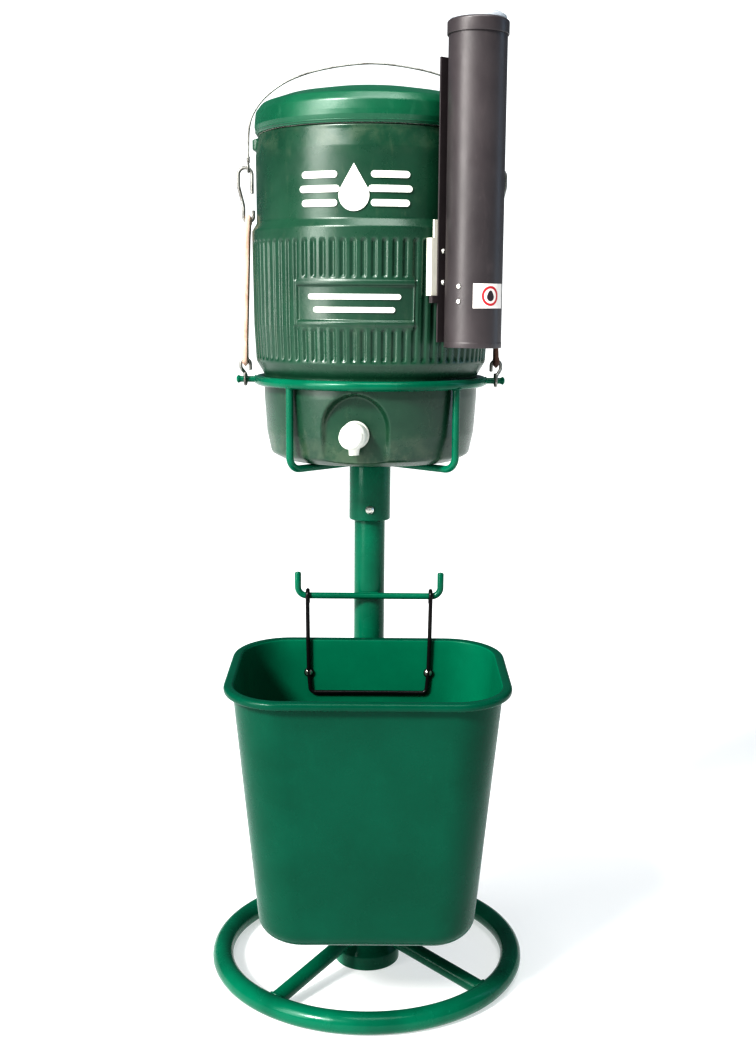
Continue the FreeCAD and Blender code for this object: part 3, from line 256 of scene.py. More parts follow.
# ------------------------------------------------------------------ mesh helpers, in millimetres
def piece(name, verts, faces, look, body="stand", place=IDENTITY, nodes=(), sharp=40):
    """One smooth-shaded piece that rides on a body and may replace CAD nodes."""
    mesh = bpy.data.meshes.new(name)
    mesh.from_pydata([place @ (Vector(v) * MM) for v in verts], [], faces)
    editable = bmesh.new()
    editable.from_mesh(mesh)
    bmesh.ops.recalc_face_normals(editable, faces=editable.faces)
    editable.to_mesh(mesh)
    editable.free()
    mesh.polygons.foreach_set("use_smooth", [True] * len(mesh.polygons))
    mesh.set_sharp_from_angle(angle=math.radians(sharp))
    mesh.materials.append(look)
    obj = bpy.data.objects.new(name, mesh)
    bpy.context.scene.collection.objects.link(obj)
    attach(obj, body)
    if nodes:
        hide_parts(*nodes)
    return obj


def joined(parts):
    """One list of vertices and faces from several."""
    verts, faces = [], []
    for more_verts, more_faces in parts:
        start = len(verts)
        verts.extend(more_verts)
        faces.extend([tuple(start + i for i in face) for face in more_faces])
    return verts, faces


def rounded(points, closed=False, steps=5):
    """Outline whose corners, given as (a, b, radius), are replaced by arcs."""
    out = []
    count = len(points)
    for i, point in enumerate(points):
        radius = point[2] if len(point) > 2 else 0
        at = Vector(point[:2])
        if radius == 0 or (not closed and i in (0, count - 1)):
            out.append(tuple(at))
            continue
        before = (Vector(points[i - 1][:2]) - at).normalized()
        after = (Vector(points[(i + 1) % count][:2]) - at).normalized()
        half = max(before.angle(after) / 2, 1e-3)
        reach = radius / math.tan(half)
        centre = at + (before + after).normalized() * (radius / math.sin(half))
        start, end = at + before * reach - centre, at + after * reach - centre
        sweep = start.angle_signed(end)
        for k in range(steps + 1):
            turned = start.copy()
            turned.rotate(Matrix.Rotation(-sweep * k / steps, 2))
            out.append(tuple(centre + turned))
    return out


def spun(outline, segments=96, closed=False):
    """Vertices and faces of an outline of (radius, height) turned about Z."""
    verts, faces, rings = [], [], []
    for radius, height in outline:
        if radius < 1e-6:
            rings.append([len(verts)])
            verts.append((0, 0, height))
            continue
        rings.append(list(range(len(verts), len(verts) + segments)))
        for k in range(segments):
            a = 2 * math.pi * k / segments
            verts.append((radius * math.cos(a), radius * math.sin(a), height))
    pairs = list(zip(rings, rings[1:] + rings[:1])) if closed else list(zip(rings, rings[1:]))
    for low, high in pairs:
        for k in range(segments):
            n = (k + 1) % segments
            if len(low) == 1 and len(high) == 1:
                continue
            if len(low) == 1:
                faces.append((low[0], high[n], high[k]))
            elif len(high) == 1:
                faces.append((low[k], low[n], high[0]))
            else:
                faces.append((low[k], low[n], high[n], high[k]))
    return verts, faces


def lofted(loops, closed_rows=False):
    """Faces between loops of equal length; an end loop may be a single point."""
    verts, faces, rings = [], [], []
    for loop in loops:
        rings.append(list(range(len(verts), len(verts) + len(loop))))
        verts.extend(loop)
    pairs = list(zip(rings, rings[1:] + rings[:1])) if closed_rows else list(zip(rings, rings[1:]))
    for low, high in pairs:
        count = max(len(low), len(high))
        for k in range(count):
            n = (k + 1) % count
            if len(low) == 1:
                faces.append((low[0], high[n], high[k]))
            elif len(high) == 1:
                faces.append((low[k], low[n], high[0]))
            else:
                faces.append((low[k], low[n], high[n], high[k]))
    return verts, faces


def bent(points, radii, steps=8):
    """Dense path of points whose inner corners are arcs of the given radii."""
    points = [Vector(p) for p in points]
    out = [points[0]]
    for before, at, after, radius in zip(points, points[1:], points[2:], radii):
        to_before, to_after = (before - at).normalized(), (after - at).normalized()
        half = to_before.angle(to_after) / 2
        reach = radius / math.tan(half)
        centre = at + (to_before + to_after).normalized() * (radius / math.sin(half))
        start, end = at + to_before * reach - centre, at + to_after * reach - centre
        for k in range(steps + 1):
            out.append(centre + start.normalized().slerp(end.normalized(), k / steps) * radius)
    out.append(points[-1])
    return out


def flowing(points, steps=10, closed=False):
    """Smooth curve through the points."""
    points = [Vector(p) for p in points]
    count = len(points)
    out = []
    for i in range(count if closed else count - 1):
        pick = [points[(i + k) % count] if closed else points[min(max(i + k, 0), count - 1)]
                for k in (-1, 0, 1, 2)]
        for k in range(steps):
            t = k / steps
            out.append(0.5 * (2 * pick[1] + (pick[2] - pick[0]) * t
                              + (2 * pick[0] - 5 * pick[1] + 4 * pick[2] - pick[3]) * t ** 2
                              + (3 * pick[1] - pick[0] - 3 * pick[2] + pick[3]) * t ** 3))
    if not closed:
        out.append(points[-1])
    return out


def swept(path, radius, segments=24, closed=False, dome=0.35):
    """Round rod along a dense path; its ends are slightly domed."""
    path = [Vector(p) for p in path]
    count = len(path)
    radii = radius if isinstance(radius, list) else [radius] * count
    tangents = []
    for i in range(count):
        before = path[i - 1] if closed or i > 0 else path[i]
        after = path[(i + 1) % count] if closed or i < count - 1 else path[i]
        tangents.append((after - before).normalized())
    side = tangents[0].orthogonal().normalized()
    rings = []
    for at, tangent, r in zip(path, tangents, radii):
        side = (side - tangent * side.dot(tangent)).normalized()
        other = tangent.cross(side)
        rings.append([tuple(at + (side * math.cos(a) + other * math.sin(a)) * r)
                      for a in (2 * math.pi * k / segments for k in range(segments))])
    if closed:
        twist = Vector(rings[-1][0]) - path[-1]
        start = [(Vector(p) - path[0]).angle(twist) for p in rings[0]]
        shift = start.index(min(start))
        rings.append(rings[0][shift:] + rings[0][:shift])
        return lofted(rings)

    def end_cap(at, tangent, ring, r):
        lip = [tuple(at + tangent * r * dome * 0.6 + (Vector(p) - at) * 0.82) for p in ring]
        return [lip, [tuple(at + tangent * r * dome)]]

    first = end_cap(path[0], -tangents[0], rings[0], radii[0])[::-1]
    return lofted(first + rings + end_cap(path[-1], tangents[-1], rings[-1], radii[-1]))


def turned_about_z(points, degrees):
    turn = Matrix.Rotation(math.radians(degrees), 3, "Z")
    return [turn @ Vector(p) for p in points]


def seam(start, direction, radius, inside, reach, count=56):
    """Closed line where a round bar from start along direction meets a body."""
    start, direction = Vector(start), Vector(direction).normalized()
    side = direction.orthogonal().normalized()
    other = direction.cross(side)
    line = []
    for k in range(count):
        a = 2 * math.pi * k / count
        edge = start + (side * math.cos(a) + other * math.sin(a)) * radius
        low, high = 0.0, reach
        for _ in range(24):
            middle = (low + high) / 2
            if inside(edge + direction * middle):
                high = middle
            else:
                low = middle
        line.append(edge + direction * high)
    return line


def weld(lines, radius, seed):
    """Rippled weld beads along closed lines."""
    parts = []
    for number, line in enumerate(lines):
        radii = []
        for k, p in enumerate(line):
            wobble = noise.noise(Vector((p.x * 0.11 + seed, p.y * 0.11 + number, p.z * 0.11)))
            radii.append(radius * (1 + 0.16 * math.sin(k * 2.1) + 0.25 * wobble))
        parts.append(swept(line, radii, 10, closed=True))
    return joined(parts)


def in_torus(major, minor, height):
    return lambda p: math.hypot(math.hypot(p.x, p.y) - major, p.z - height) < minor


# ------------------------------------------------------------------ pedestal
BASE_R, BASE_TUBE = 208.7, 14.6
SPOKE_R = 10.65
POLE_R, SLEEVE_R = 21.1, 28.25
BASE_ANGLES = [45 + 7 + 90 * k for k in range(4)]


def torus(major, minor, height, around=192, across=32):
    loops = []
    for k in range(around):
        a = 2 * math.pi * k / around
        loops.append([((major + minor * math.cos(b)) * math.cos(a),
                       (major + minor * math.cos(b)) * math.sin(a), height + minor * math.sin(b))
                      for b in (2 * math.pi * j / across for j in range(across))])
    return lofted(loops, closed_rows=True)


def hub_radius(height):
    """Radius of the hub's outside at a height."""
    outline = [(0, 46.5), (20, 46.5), (26, 43.5), (52, 32), (58, 30), (64, 30)]
    for (low, wide), (high, narrow) in zip(outline, outline[1:]):
        if low <= height <= high:
            return wide + (narrow - wide) * (height - low) / (high - low)
    return 0


piece("base_ring_tube", *torus(BASE_R, BASE_TUBE, BASE_TUBE), GREEN, nodes=["base_ring"])
spoke_outer = Vector((BASE_R - 2, 0, 15))
spoke_inner = Vector((24, 0, 47))
spoke_way = (spoke_inner - spoke_outer).normalized()
ring_seam = seam(spoke_outer - spoke_way * -60, -spoke_way, SPOKE_R,
                 in_torus(BASE_R, BASE_TUBE, BASE_TUBE), 70)
hub_seam = seam(spoke_outer + spoke_way * 60, spoke_way, SPOKE_R,
                lambda p: math.hypot(p.x, p.y) < hub_radius(p.z), 140)
spoke_path = [spoke_outer + spoke_way * t for t in (2, 40, 80, 120, 150, 172)]
piece("base_spoke_tubes", *joined([swept(turned_about_z(spoke_path, a), SPOKE_R, 32)
                                   for a in BASE_ANGLES]), GREEN, nodes=["base_spokes"])
piece("base_welds", *weld([turned_about_z(line, a) for a in BASE_ANGLES
                           for line in (ring_seam, hub_seam)], 1.9, 3.0), GREEN)
hub = rounded([(0, 0.3), (46.5, 0.3, 2.5), (46.5, 20, 5), (42.5, 27, 6), (32, 52, 8), (30, 60, 6),
               (30, 64, 1.5), (21.1, 64)])
piece("base_hub_cone", *spun(hub, 96), GREEN, nodes=["base_hub"])


def ring_line(radius, height, count=72):
    return [Vector((radius * math.cos(a), radius * math.sin(a), height))
            for a in (2 * math.pi * k / count for k in range(count))]


pole = rounded([(0, 4.5), (POLE_R, 4.5, 1), (POLE_R, 718.5, 1.5), (17.6, 718.5)])
piece("pole_tube", *spun(pole, 96), GREEN, nodes=["pole"])
piece("pole_welds", *weld([ring_line(POLE_R + 0.8, 64.6)], 2.1, 5.0), GREEN)
sleeve = rounded([(21.5, 648.5), (SLEEVE_R, 648.5, 2.2), (SLEEVE_R, 724.5, 2.0), (0, 724.5)])
piece("cradle_sleeve_tube", *spun(sleeve, 96), GREEN, nodes=["cradle_sleeve"])

# ------------------------------------------------------------------ cradle
WAIST_R = COOLER_R - 15
RING_R, RING_ROD = WAIST_R + 1.05 + 6.35, 6.35
RING_Z = SEAT + 105.6
LEG_R = 4.75
LEG_ANGLES = [45 + 2 + 90 * k for k in range(4)]
seat_rod = SEAT - LEG_R

piece("cradle_ring_rod", *torus(RING_R, RING_ROD, RING_Z, 192, 24), GREEN, nodes=["cradle_ring"])
leg_path = bent([(8, 0, seat_rod), (RING_R, 0, seat_rod), (RING_R, 0, RING_Z - 3)], [17], 12)
piece("cradle_leg_rods", *joined([swept(turned_about_z(leg_path, a), LEG_R, 24)
                                  for a in LEG_ANGLES]), GREEN, nodes=["cradle_legs"])
leg_seam = seam((RING_R, 0, RING_Z - 30), (0, 0, 1), LEG_R,
                in_torus(RING_R, RING_ROD, RING_Z), 30, 36)
leg_toe = seam((60, 0, seat_rod), (-1, 0, 0), LEG_R,
               lambda p: math.hypot(p.x, p.y) < SLEEVE_R + 0.4, 50, 36)
piece("cradle_welds", *weld([turned_about_z(line, a) for a in LEG_ANGLES
                             for line in (leg_seam, leg_toe)], 1.3, 8.0), GREEN)
PEG_R = 4
peg = rounded([(0, 158), (PEG_R, 158), (PEG_R, 176.5, 3), (5.6, 180.6, 0.8), (3, 182.6, 0.8), (0, 182.9)])
peg_verts, peg_faces = spun([(r, z - 0.5) for r, z in peg], 32)
pegs = [([(side * z, side * x, RING_Z + y) for x, y, z in peg_verts], peg_faces) for side in (1, -1)]
piece("tie_peg_rods", *joined(pegs), GREEN, nodes=["tie_pegs"])
peg_seam = [Vector((RING_R + 5.2, 4.4 * math.cos(a), RING_Z + 4.4 * math.sin(a)))
            for a in (2 * math.pi * k / 28 for k in range(28))]
piece("peg_welds", *weld([peg_seam, turned_about_z(peg_seam, 180)], 1.1, 13.0), GREEN)

# ------------------------------------------------------------------ bin bar
BAR_Y, BAR_Z, BAR_ROD = -25.45, 544.7, 4.35
bar_path = bent([(-98, BAR_Y, BAR_Z + 31), (-98, BAR_Y, BAR_Z), (98, BAR_Y, BAR_Z),
                 (98, BAR_Y, BAR_Z + 31)], [12, 12], 10)
piece("bin_bar_rod", *swept(bar_path, BAR_ROD, 24, dome=0.6), GREEN, nodes=["bin_bar"])
bar_weld = []
for side in (-1, 1):
    for drop in (-1, 1):
        bar_weld.append([(x, BAR_Y + 3.2 - 0.02 * x * x / 4, BAR_Z + drop * 3.4)
                         for x in (side * k for k in (1, 3, 5, 7, 9, 11))])
piece("bar_weld_beads", *joined([swept(line, 1.9, 10, dome=0.8) for line in bar_weld]), GREEN)

# ------------------------------------------------------------------ cooler
RIBS = 76
COLUMNS = RIBS * 10


GROOVE_DEPTH = 2.4
FRONT_HALF_ANGLE = 28
GROOVE_RUN = (868, 873, 1017, 1022)
FRONT_GROOVE_RUNS = ((868, 873, 907, 912), (972, 977, 1017, 1022))
PANEL_RUN, PANEL_DEPTH = (919, 921.5, 962.5, 965), 1.7
FRAME_RUN, FRAME_HEIGHT = (913, 915, 969, 971), 1.4
GRIP_RUN, GRIP_R = (1137.5, 1141, 1152.6, 1154.5), 157.6
NICHE_HALF_WIDTH, NICHE_FACE, NICHE_SPRING = 42.5, 128.0, 785


def smooth_step(low, high, value):
    t = min(max((value - low) / (high - low), 0.0), 1.0)
    return t * t * (3 - 2 * t)


def between(value, run):
    """1 inside a run of values with soft ends, and 0 outside it."""
    start, full, fall, end = run
    return smooth_step(start, full, value) * (1 - smooth_step(fall, end, value))


SHELL_FOOT = 734.6
shell_outline = rounded([
    (0, SHELL_FOOT), (118, SHELL_FOOT, 5), (134.3, 743, 7), (140.5, 772, 14), (143.8, 822, 20),
    (143.8, 848, 5), (154.2, 866, 3.5), (156.9, 913, 20), (158.8, 1026, 3), (158.8, 1035, 2.5),
    (152.6, 1045, 2.5), (153.4, 1131, 8), (150.4, 1152, 3), (150.4, 1156.6, 0.8), (149.5, 1156.8)],
    steps=4)


def shell_radius(height):
    """Radius of the plain outside of the cooler at a height."""
    for (r0, z0), (r1, z1) in zip(shell_outline[1:], shell_outline[2:]):
        if z0 <= height <= z1 and z1 > z0:
            return r0 + (r1 - r0) * (height - z0) / (z1 - z0)
    return shell_outline[-2][0]


def shell_rows():
    """Heights at which the cooler's skin is sampled, closest where it has detail."""
    bands = [(735, 750, 1.5), (750, 838, 1.6), (838, 872, 1.4), (872, 906, 4), (906, 978, 1.2),
             (978, 1014, 4), (1014, 1048, 1.2), (1048, 1130, 4.5), (1130, 1157, 1.2)]
    rows = []
    for low, high, step in bands:
        count = round((high - low) / step)
        rows.extend(low + (high - low) * k / count for k in range(count))
    return rows + [1156.8]


def skin(angle, height):
    """Radius of the moulded skin at an angle from the front and a height."""
    radius = shell_radius(height)
    rib = 360 / RIBS
    front = abs(angle)
    off = abs((angle + rib / 2) % rib - rib / 2) * math.radians(1) * radius
    across = 1 - smooth_step(1.7, 3.7, off)
    if front < FRONT_HALF_ANGLE:
        along = max(between(height, run) for run in FRONT_GROOVE_RUNS)
    else:
        along = between(height, GROOVE_RUN)
    radius -= GROOVE_DEPTH * across * along
    panel = between(height, PANEL_RUN) * (1 - smooth_step(27.4, 28.4, front))
    radius -= PANEL_DEPTH * panel
    frame_line = between(height, FRAME_RUN) * (1 - smooth_step(29.2, 30.2, front))
    radius += FRAME_HEIGHT * frame_line * (1 - panel)
    for side in (-90, 90):
        gap = abs((angle - side + 180) % 360 - 180)
        grip = (1 - smooth_step(12.4, 14, gap)) * between(height, GRIP_RUN)
        radius += grip * (GRIP_R - radius)
    lateral = radius * math.sin(math.radians(angle)) if front < 90 else 999
    above_spring = max(height - NICHE_SPRING, 0)
    depth = NICHE_HALF_WIDTH - math.hypot(lateral, above_spring)
    if depth > -4 and front < 60:
        flat = NICHE_FACE / math.cos(math.radians(angle))
        if flat < radius:
            radius -= smooth_step(-2.6, 2.6, depth) * (radius - flat)
    return radius


def round_row(radius, height):
    return [(radius * math.sin(a), -radius * math.cos(a), height)
            for a in (2 * math.pi * k / COLUMNS for k in range(COLUMNS))]


def cooler_skin():
    """Skin from the middle of the underside up to the lip under the lid."""
    loops = [[(0, 0, SHELL_FOOT)]] + [round_row(radius, SHELL_FOOT) for radius in (60, 100, 116)]
    for height in shell_rows():
        loop = []
        for k in range(COLUMNS):
            degrees = 360 * k / COLUMNS
            degrees = degrees - 360 if degrees > 180 else degrees
            a = math.radians(degrees)
            r = skin(degrees, height)
            loop.append((r * math.sin(a), -r * math.cos(a), height))
        loops.append(loop)
    loops.append(round_row(149.4, 1157.0))
    return lofted(loops)


piece("cooler_shell_skin", *cooler_skin(), SHELL, place=COOLER, nodes=["cooler_shell"], sharp=60)

# ------------------------------------------------------------------ lid
lid_outline = rounded([
    (146.5, 1158.3), (152.3, 1158.3, 1.2), (154.9, 1168, 3), (154.6, 1174, 3), (153.2, 1186, 8),
    (146.0, 1195.6, 7), (118, 1205.4, 20), (76, 1213.4, 60), (0, 1219.0)], steps=6)
piece("lid_dome", *spun(lid_outline, 160), LID, body="lid", place=COOLER, nodes=["lid_shell"])
crease = rounded([(150.8, 1160.6), (153.9, 1160.9, 0.4), (154.3, 1162.4, 0.4), (151.5, 1162.8)], steps=3)
piece("lid_crease", *spun(crease, 160), LID, body="lid", place=COOLER)

# ------------------------------------------------------------------ tap, along its own axis
TAP = COOLER @ Matrix.Translation(Vector((0, 0, 777)) * MM) @ Matrix.Rotation(math.radians(90), 4, "X")
FLANGE = 130.5
BARREL_END = FLANGE + 32.5
tap_outline = rounded([
    (10, FLANGE - 0.2), (18, FLANGE, 0.8), (18, FLANGE + 3.5, 1.2), (16.6, FLANGE + 5, 0.8),
    (17, BARREL_END - 6, 4), (15.6, BARREL_END, 1.6), (13.2, BARREL_END, 0.5),
    (13.2, BARREL_END - 10)], steps=4)
nozzle_path = [(0, -drop, FLANGE + 12) for drop in (10, 14, 17, 20, 22.5, 24.4)]
nozzle_radii = [9.5, 8.8, 7.4, 6.9, 6.6, 6.5]
tap_parts = [spun(tap_outline, 64), swept(nozzle_path, nozzle_radii, 32, dome=0.05)]
piece("tap_barrel", *joined(tap_parts), WHITE, place=TAP, nodes=["tap_body"])
BUTTON = BARREL_END + 5.5
button_outline = rounded([
    (12.6, BUTTON - 6), (12.6, BUTTON, 0.3), (15, BUTTON, 0.8), (15, BUTTON + 3, 1.5),
    (12.6, BUTTON + 6.2, 3), (6, BUTTON + 7.8, 5), (0, BUTTON + 8)], steps=5)
piece("tap_push_button", *spun(button_outline, 64), WHITE, body="tap_push", place=TAP,
      nodes=["tap_button"])

# ------------------------------------------------------------------ hold-down wire, hooks and straps
SIDE = COOLER_R + 5
EYE_Z, EYE_R, WIRE_R, HOOK_R = SEAT + 384, 5.75, 1.25, 2.25
corner_x, crest = COOLER_R - 14.5, SEAT + 518
arch_run = [(SIDE + 0.2, EYE_Z + EYE_R), (SIDE, EYE_Z + 22), (SIDE - 1.2, crest - 84),
            (corner_x + 12.2, crest - 64), (corner_x - 4.3, crest - 42.7),
            (corner_x - 34.5, crest - 22.3), (corner_x - 80.4, crest - 7.5), (0, crest)]
arch = flowing([(-x, 0, z) for x, z in arch_run] + [(x, 0, z) for x, z in arch_run[-2::-1]], 10)
eyes = [[(side * (SIDE + 0.2), EYE_R * math.sin(a), EYE_Z + EYE_R * math.cos(a))
         for a in (2 * math.pi * k / 40 for k in range(40))] for side in (-1, 1)]
wraps = [[(side * (SIDE + 0.15) + 1.7 * math.cos(a), 1.7 * math.sin(a), EYE_Z + EYE_R + 1.8 + 0.32 * a)
          for a in (k * 0.5 for k in range(40))] for side in (-1, 1)]
hold_parts = [swept(arch, WIRE_R, 16)] + [swept(eye, WIRE_R, 16, closed=True) for eye in eyes]
hold_parts += [swept(wrap, 0.8, 10) for wrap in wraps]
piece("hold_down_bail", *joined(hold_parts), WIRE, body="hold_down", nodes=["hold_down_wire"])

STRAP_TOP = Vector((SIDE + 0.4, 0, SEAT + 324))
STRAP_FOOT = Vector((SIDE + 6.2, 0, SEAT + 123))
STRAP_INSET, STRAP_REACH = 9, 6.5
STRAP_HALF_WIDTH, STRAP_HALF_THICK, STRAP_HOLE_R = 9.5, 3.5, 4.2
crown, offset, HOOK_GAP = 9, 4.3, 0.6
hook_top = (EYE_Z - EYE_R + WIRE_R + HOOK_R + HOOK_GAP + crown
            - math.sqrt(crown ** 2 - (offset + WIRE_R) ** 2))
middle = SIDE + 0.2 + offset
hole = STRAP_TOP - Vector((0, 0, STRAP_INSET + 0.5))
upper = bent([(middle - crown, 0, hook_top - 33), (middle - crown, 0, hook_top),
              (middle + crown, 0, hook_top), (middle + crown, 0, hook_top - 24),
              hole + Vector((STRAP_REACH, 0, 20)), hole + Vector((STRAP_REACH, 0, 0)),
              hole + Vector((-STRAP_REACH, 0, 0)), hole + Vector((-STRAP_REACH, 0, 14))],
             [crown - 0.05] * 2 + [25] * 2 + [STRAP_REACH - 0.05] * 2, 10)
piece("upper_hook_rods", *joined([swept(turned_about_z(upper, a), HOOK_R, 20) for a in (0, 180)]),
      WIRE, nodes=["upper_hooks"])
hole = STRAP_FOOT + Vector((0, 0, STRAP_INSET + 0.5))
reach = PEG_R + HOOK_R + HOOK_GAP
under = Vector((STRAP_FOOT.x, 0, RING_Z - reach))
lower = bent([hole + Vector((-STRAP_REACH, 0, -14)), hole + Vector((-STRAP_REACH, 0, 0)),
              hole + Vector((STRAP_REACH, 0, 0)), hole + Vector((STRAP_REACH, 0, -STRAP_REACH - 5)),
              under + Vector((0, -reach, reach + 6)), under + Vector((0, -reach, 0)),
              under + Vector((0, reach, 0)), under + Vector((0, reach, reach + 9))],
             [STRAP_REACH - 0.05] * 2 + [7, 7] + [reach - 0.05] * 2, 10)
piece("lower_hook_rods", *joined([swept(turned_about_z(lower, a), HOOK_R, 20) for a in (0, 180)]),
      WIRE, nodes=["lower_hooks"])


def strap(turn):
    """Moulded strap with rounded edges, a thin waist and a reinforced hole at each end."""
    along = STRAP_TOP - STRAP_FOOT
    length = along.length
    upright = along.normalized()
    outward = Vector((upright.z, 0, -upright.x))
    rows, sides = 60, 20
    loops = []
    for k in range(rows + 1):
        at = length * k / rows
        end = min(at, length - at)
        width = STRAP_HALF_WIDTH
        if end < STRAP_HALF_WIDTH:
            width = math.sqrt(max(STRAP_HALF_WIDTH ** 2 - (STRAP_HALF_WIDTH - end) ** 2, 0))
        width = max(width, 0.6) * (1 - 0.16 * smooth_step(16, 40, end))
        thick = STRAP_HALF_THICK * (0.86 + 0.14 * (1 - smooth_step(16, 34, end)))
        loop = []
        for j in range(sides):
            a = 2 * math.pi * j / sides
            c, s = math.cos(a), math.sin(a)
            flat = math.copysign(abs(c) ** 0.45, c) * width
            deep = math.copysign(abs(s) ** 0.45, s) * thick * min(1.0, width / 4)
            loop.append(STRAP_FOOT + upright * at + Vector((0, flat, 0)) + outward * deep)
        loops.append(turned_about_z(loop, turn))
    loops = [[turned_about_z([STRAP_FOOT], turn)[0]]] + loops + [[turned_about_z([STRAP_TOP], turn)[0]]]
    return lofted([[tuple(p) for p in loop] for loop in loops])


STRAP_HOLES = (STRAP_TOP - Vector((0, 0, STRAP_INSET)), STRAP_FOOT + Vector((0, 0, STRAP_INSET)))


def eyelets(turn):
    """Raised rings round the strap's two holes, on both faces."""
    parts = []
    for centre in STRAP_HOLES:
        for out in (-1, 1):
            line = [centre + Vector((out * 3.3, 4.4 * math.cos(a), 4.4 * math.sin(a)))
                    for a in (2 * math.pi * k / 28 for k in range(28))]
            parts.append(swept(turned_about_z(line, turn), 0.9, 8, closed=True))
    return joined(parts)


def pierced(obj, turn):
    """Cuts the two round holes with a boolean that is then applied."""
    parts = []
    for centre in STRAP_HOLES:
        line = turned_about_z([centre + Vector((-8, 0, 0)), centre + Vector((8, 0, 0))], turn)
        parts.append(swept(line, STRAP_HOLE_R, 28, dome=0.0))
    verts, faces = joined(parts)
    mesh = bpy.data.meshes.new("strap_hole_tool")
    mesh.from_pydata([Vector(v) * MM for v in verts], [], faces)
    tool = bpy.data.objects.new("strap_hole_tool", mesh)
    bpy.context.scene.collection.objects.link(tool)
    modifier = obj.modifiers.new("holes", "BOOLEAN")
    modifier.object = tool
    modifier.operation = "DIFFERENCE"
    modifier.solver = "EXACT"
    bpy.context.view_layer.update()
    ready = obj.evaluated_get(bpy.context.evaluated_depsgraph_get())
    result = bpy.data.meshes.new_from_object(ready)
    obj.modifiers.clear()
    obj.data = result
    bpy.data.objects.remove(tool)


# Strap colours carry painted light: pale painted sunlight on the left, dark painted shade on the right.
for side, turn, look in (("right", 0, STRAP_RIGHT_PAINTED_SHADE), ("left", 180, STRAP_LEFT_PAINTED_SUNLIT)):
    band = piece(f"strap_{side}_band", *strap(turn), look, nodes=[f"strap_{side}"], sharp=50)
    pierced(band, turn)
    piece(f"strap_{side}_eyelets", *eyelets(turn), look)

# ------------------------------------------------------------------ cup tube
CUP = Matrix.Translation(Vector((*CUP_AXIS, 0)) * MM)
TUBE_FOOT, TUBE_TOP = SEAT + 155, SEAT + 532
tube_outline = rounded([
    (33.5, TUBE_FOOT, 0), (CUP_R, TUBE_FOOT, 0.8), (CUP_R, TUBE_FOOT + 6, 0.4),
    (35.2, TUBE_FOOT + 7, 0.4),
    (35.2, TUBE_TOP), (33.5, TUBE_TOP)], steps=3)
piece("cup_tube_wall", *spun(tube_outline, 128, closed=True), CHARCOAL, place=CUP, nodes=["cup_tube"])
cap_outline = rounded([
    (35.8, TUBE_TOP - 9), (37.0, TUBE_TOP - 9, 0.5), (37.0, TUBE_TOP + 6, 1.8), (34.6, TUBE_TOP + 8, 1),
    (0, TUBE_TOP + 8)], steps=4)
piece("cup_cap_shell", *spun(cap_outline, 128), CHARCOAL, body="cup_lid", place=CUP, nodes=["cup_cap"])
disc_outline = rounded([
    (0, TUBE_TOP + 8.0), (34.0, TUBE_TOP + 8.0, 0.8), (33.4, TUBE_TOP + 12.6, 2),
    (26.5, TUBE_TOP + 16.5, 4), (0, TUBE_TOP + 17.4)], steps=5)
piece("cap_disc_dome", *spun(disc_outline, 128), CAP_GREY, body="cup_lid", place=CUP, nodes=["cap_disc"])


def curved_patch(outline_at, radius, thick, centre_angle, centre_height, columns, rows):
    """Sheet wrapped on the cup tube; outline_at(u, v) gives arc length and height offsets."""
    verts, faces = [], []
    for layer in (0, thick):
        for j in range(rows + 1):
            for i in range(columns + 1):
                s, h = outline_at(i / columns, j / rows)
                a = math.radians(centre_angle) + s / radius
                verts.append(((radius + layer) * math.cos(a), (radius + layer) * math.sin(a),
                              centre_height + h))
    width = columns + 1
    layer = width * (rows + 1)
    for j in range(rows):
        for i in range(columns):
            a = j * width + i
            faces.append((layer + a, layer + a + 1, layer + a + width + 1, layer + a + width))
            faces.append((a, a + width, a + width + 1, a + 1))
    rim = (list(range(columns)) + [j * width + columns for j in range(rows)]
           + [rows * width + columns - j for j in range(columns)]
           + [(rows - j) * width for j in range(rows)])
    for k, a in enumerate(rim):
        b = rim[(k + 1) % len(rim)]
        faces.append((a, b, layer + b, layer + a))
    return verts, faces


LABEL_ANGLE, LABEL_Z, LABEL_HALF_HEIGHT = -59.0, SEAT + 217.75, 14.75
label_half = math.radians(36) * CUP_R


def label_sheet(u, v):
    return (u * 2 - 1) * label_half, (v * 2 - 1) * LABEL_HALF_HEIGHT


def disc_band(inner, outer):
    """Ring on the label, as a patch in polar coordinates."""
    def at(u, v):
        a = 2 * math.pi * u
        r = inner + (outer - inner) * v
        return r * math.cos(a), r * math.sin(a)
    return at


def drop_shape(u, v):
    a = 2 * math.pi * u
    r = 5.0 * v * (1.0 + 0.55 * max(math.sin(a), 0) ** 6)
    return r * math.cos(a), r * math.sin(a) - 1.2


piece("tube_label_sheet", *curved_patch(label_sheet, CUP_R, 0.35, LABEL_ANGLE, LABEL_Z, 24, 6), PAPER,
      place=CUP, nodes=["tube_label"])
print_r = CUP_R + 0.36
piece("tube_label_ring", *curved_patch(disc_band(9.0, 11.8), print_r, 0.12, LABEL_ANGLE, LABEL_Z, 48, 2),
      RED, place=CUP)
piece("tube_label_drop", *curved_patch(drop_shape, print_r, 0.12, LABEL_ANGLE, LABEL_Z, 48, 4),
      INK, place=CUP)

# ------------------------------------------------------------------ bin, from the bar axis
BIN_W, BIN_D, BIN_CORNER = 360.0, 263.0, 76.0
FOOT_W, FOOT_D, FOOT_CORNER = 279.0, 204.0, 58.0
RIM_OUT, RIM_LOW, FLOOR = 11.0, -68.9, -404.7
RIM_TOP = -58.9
BIN_WALL = 2.2
BIN_EDGE = 24.0
WALL_ROWS, EDGE_ROWS = 24, 8
BIN_MIDDLE = -0.5 - BIN_D / 2


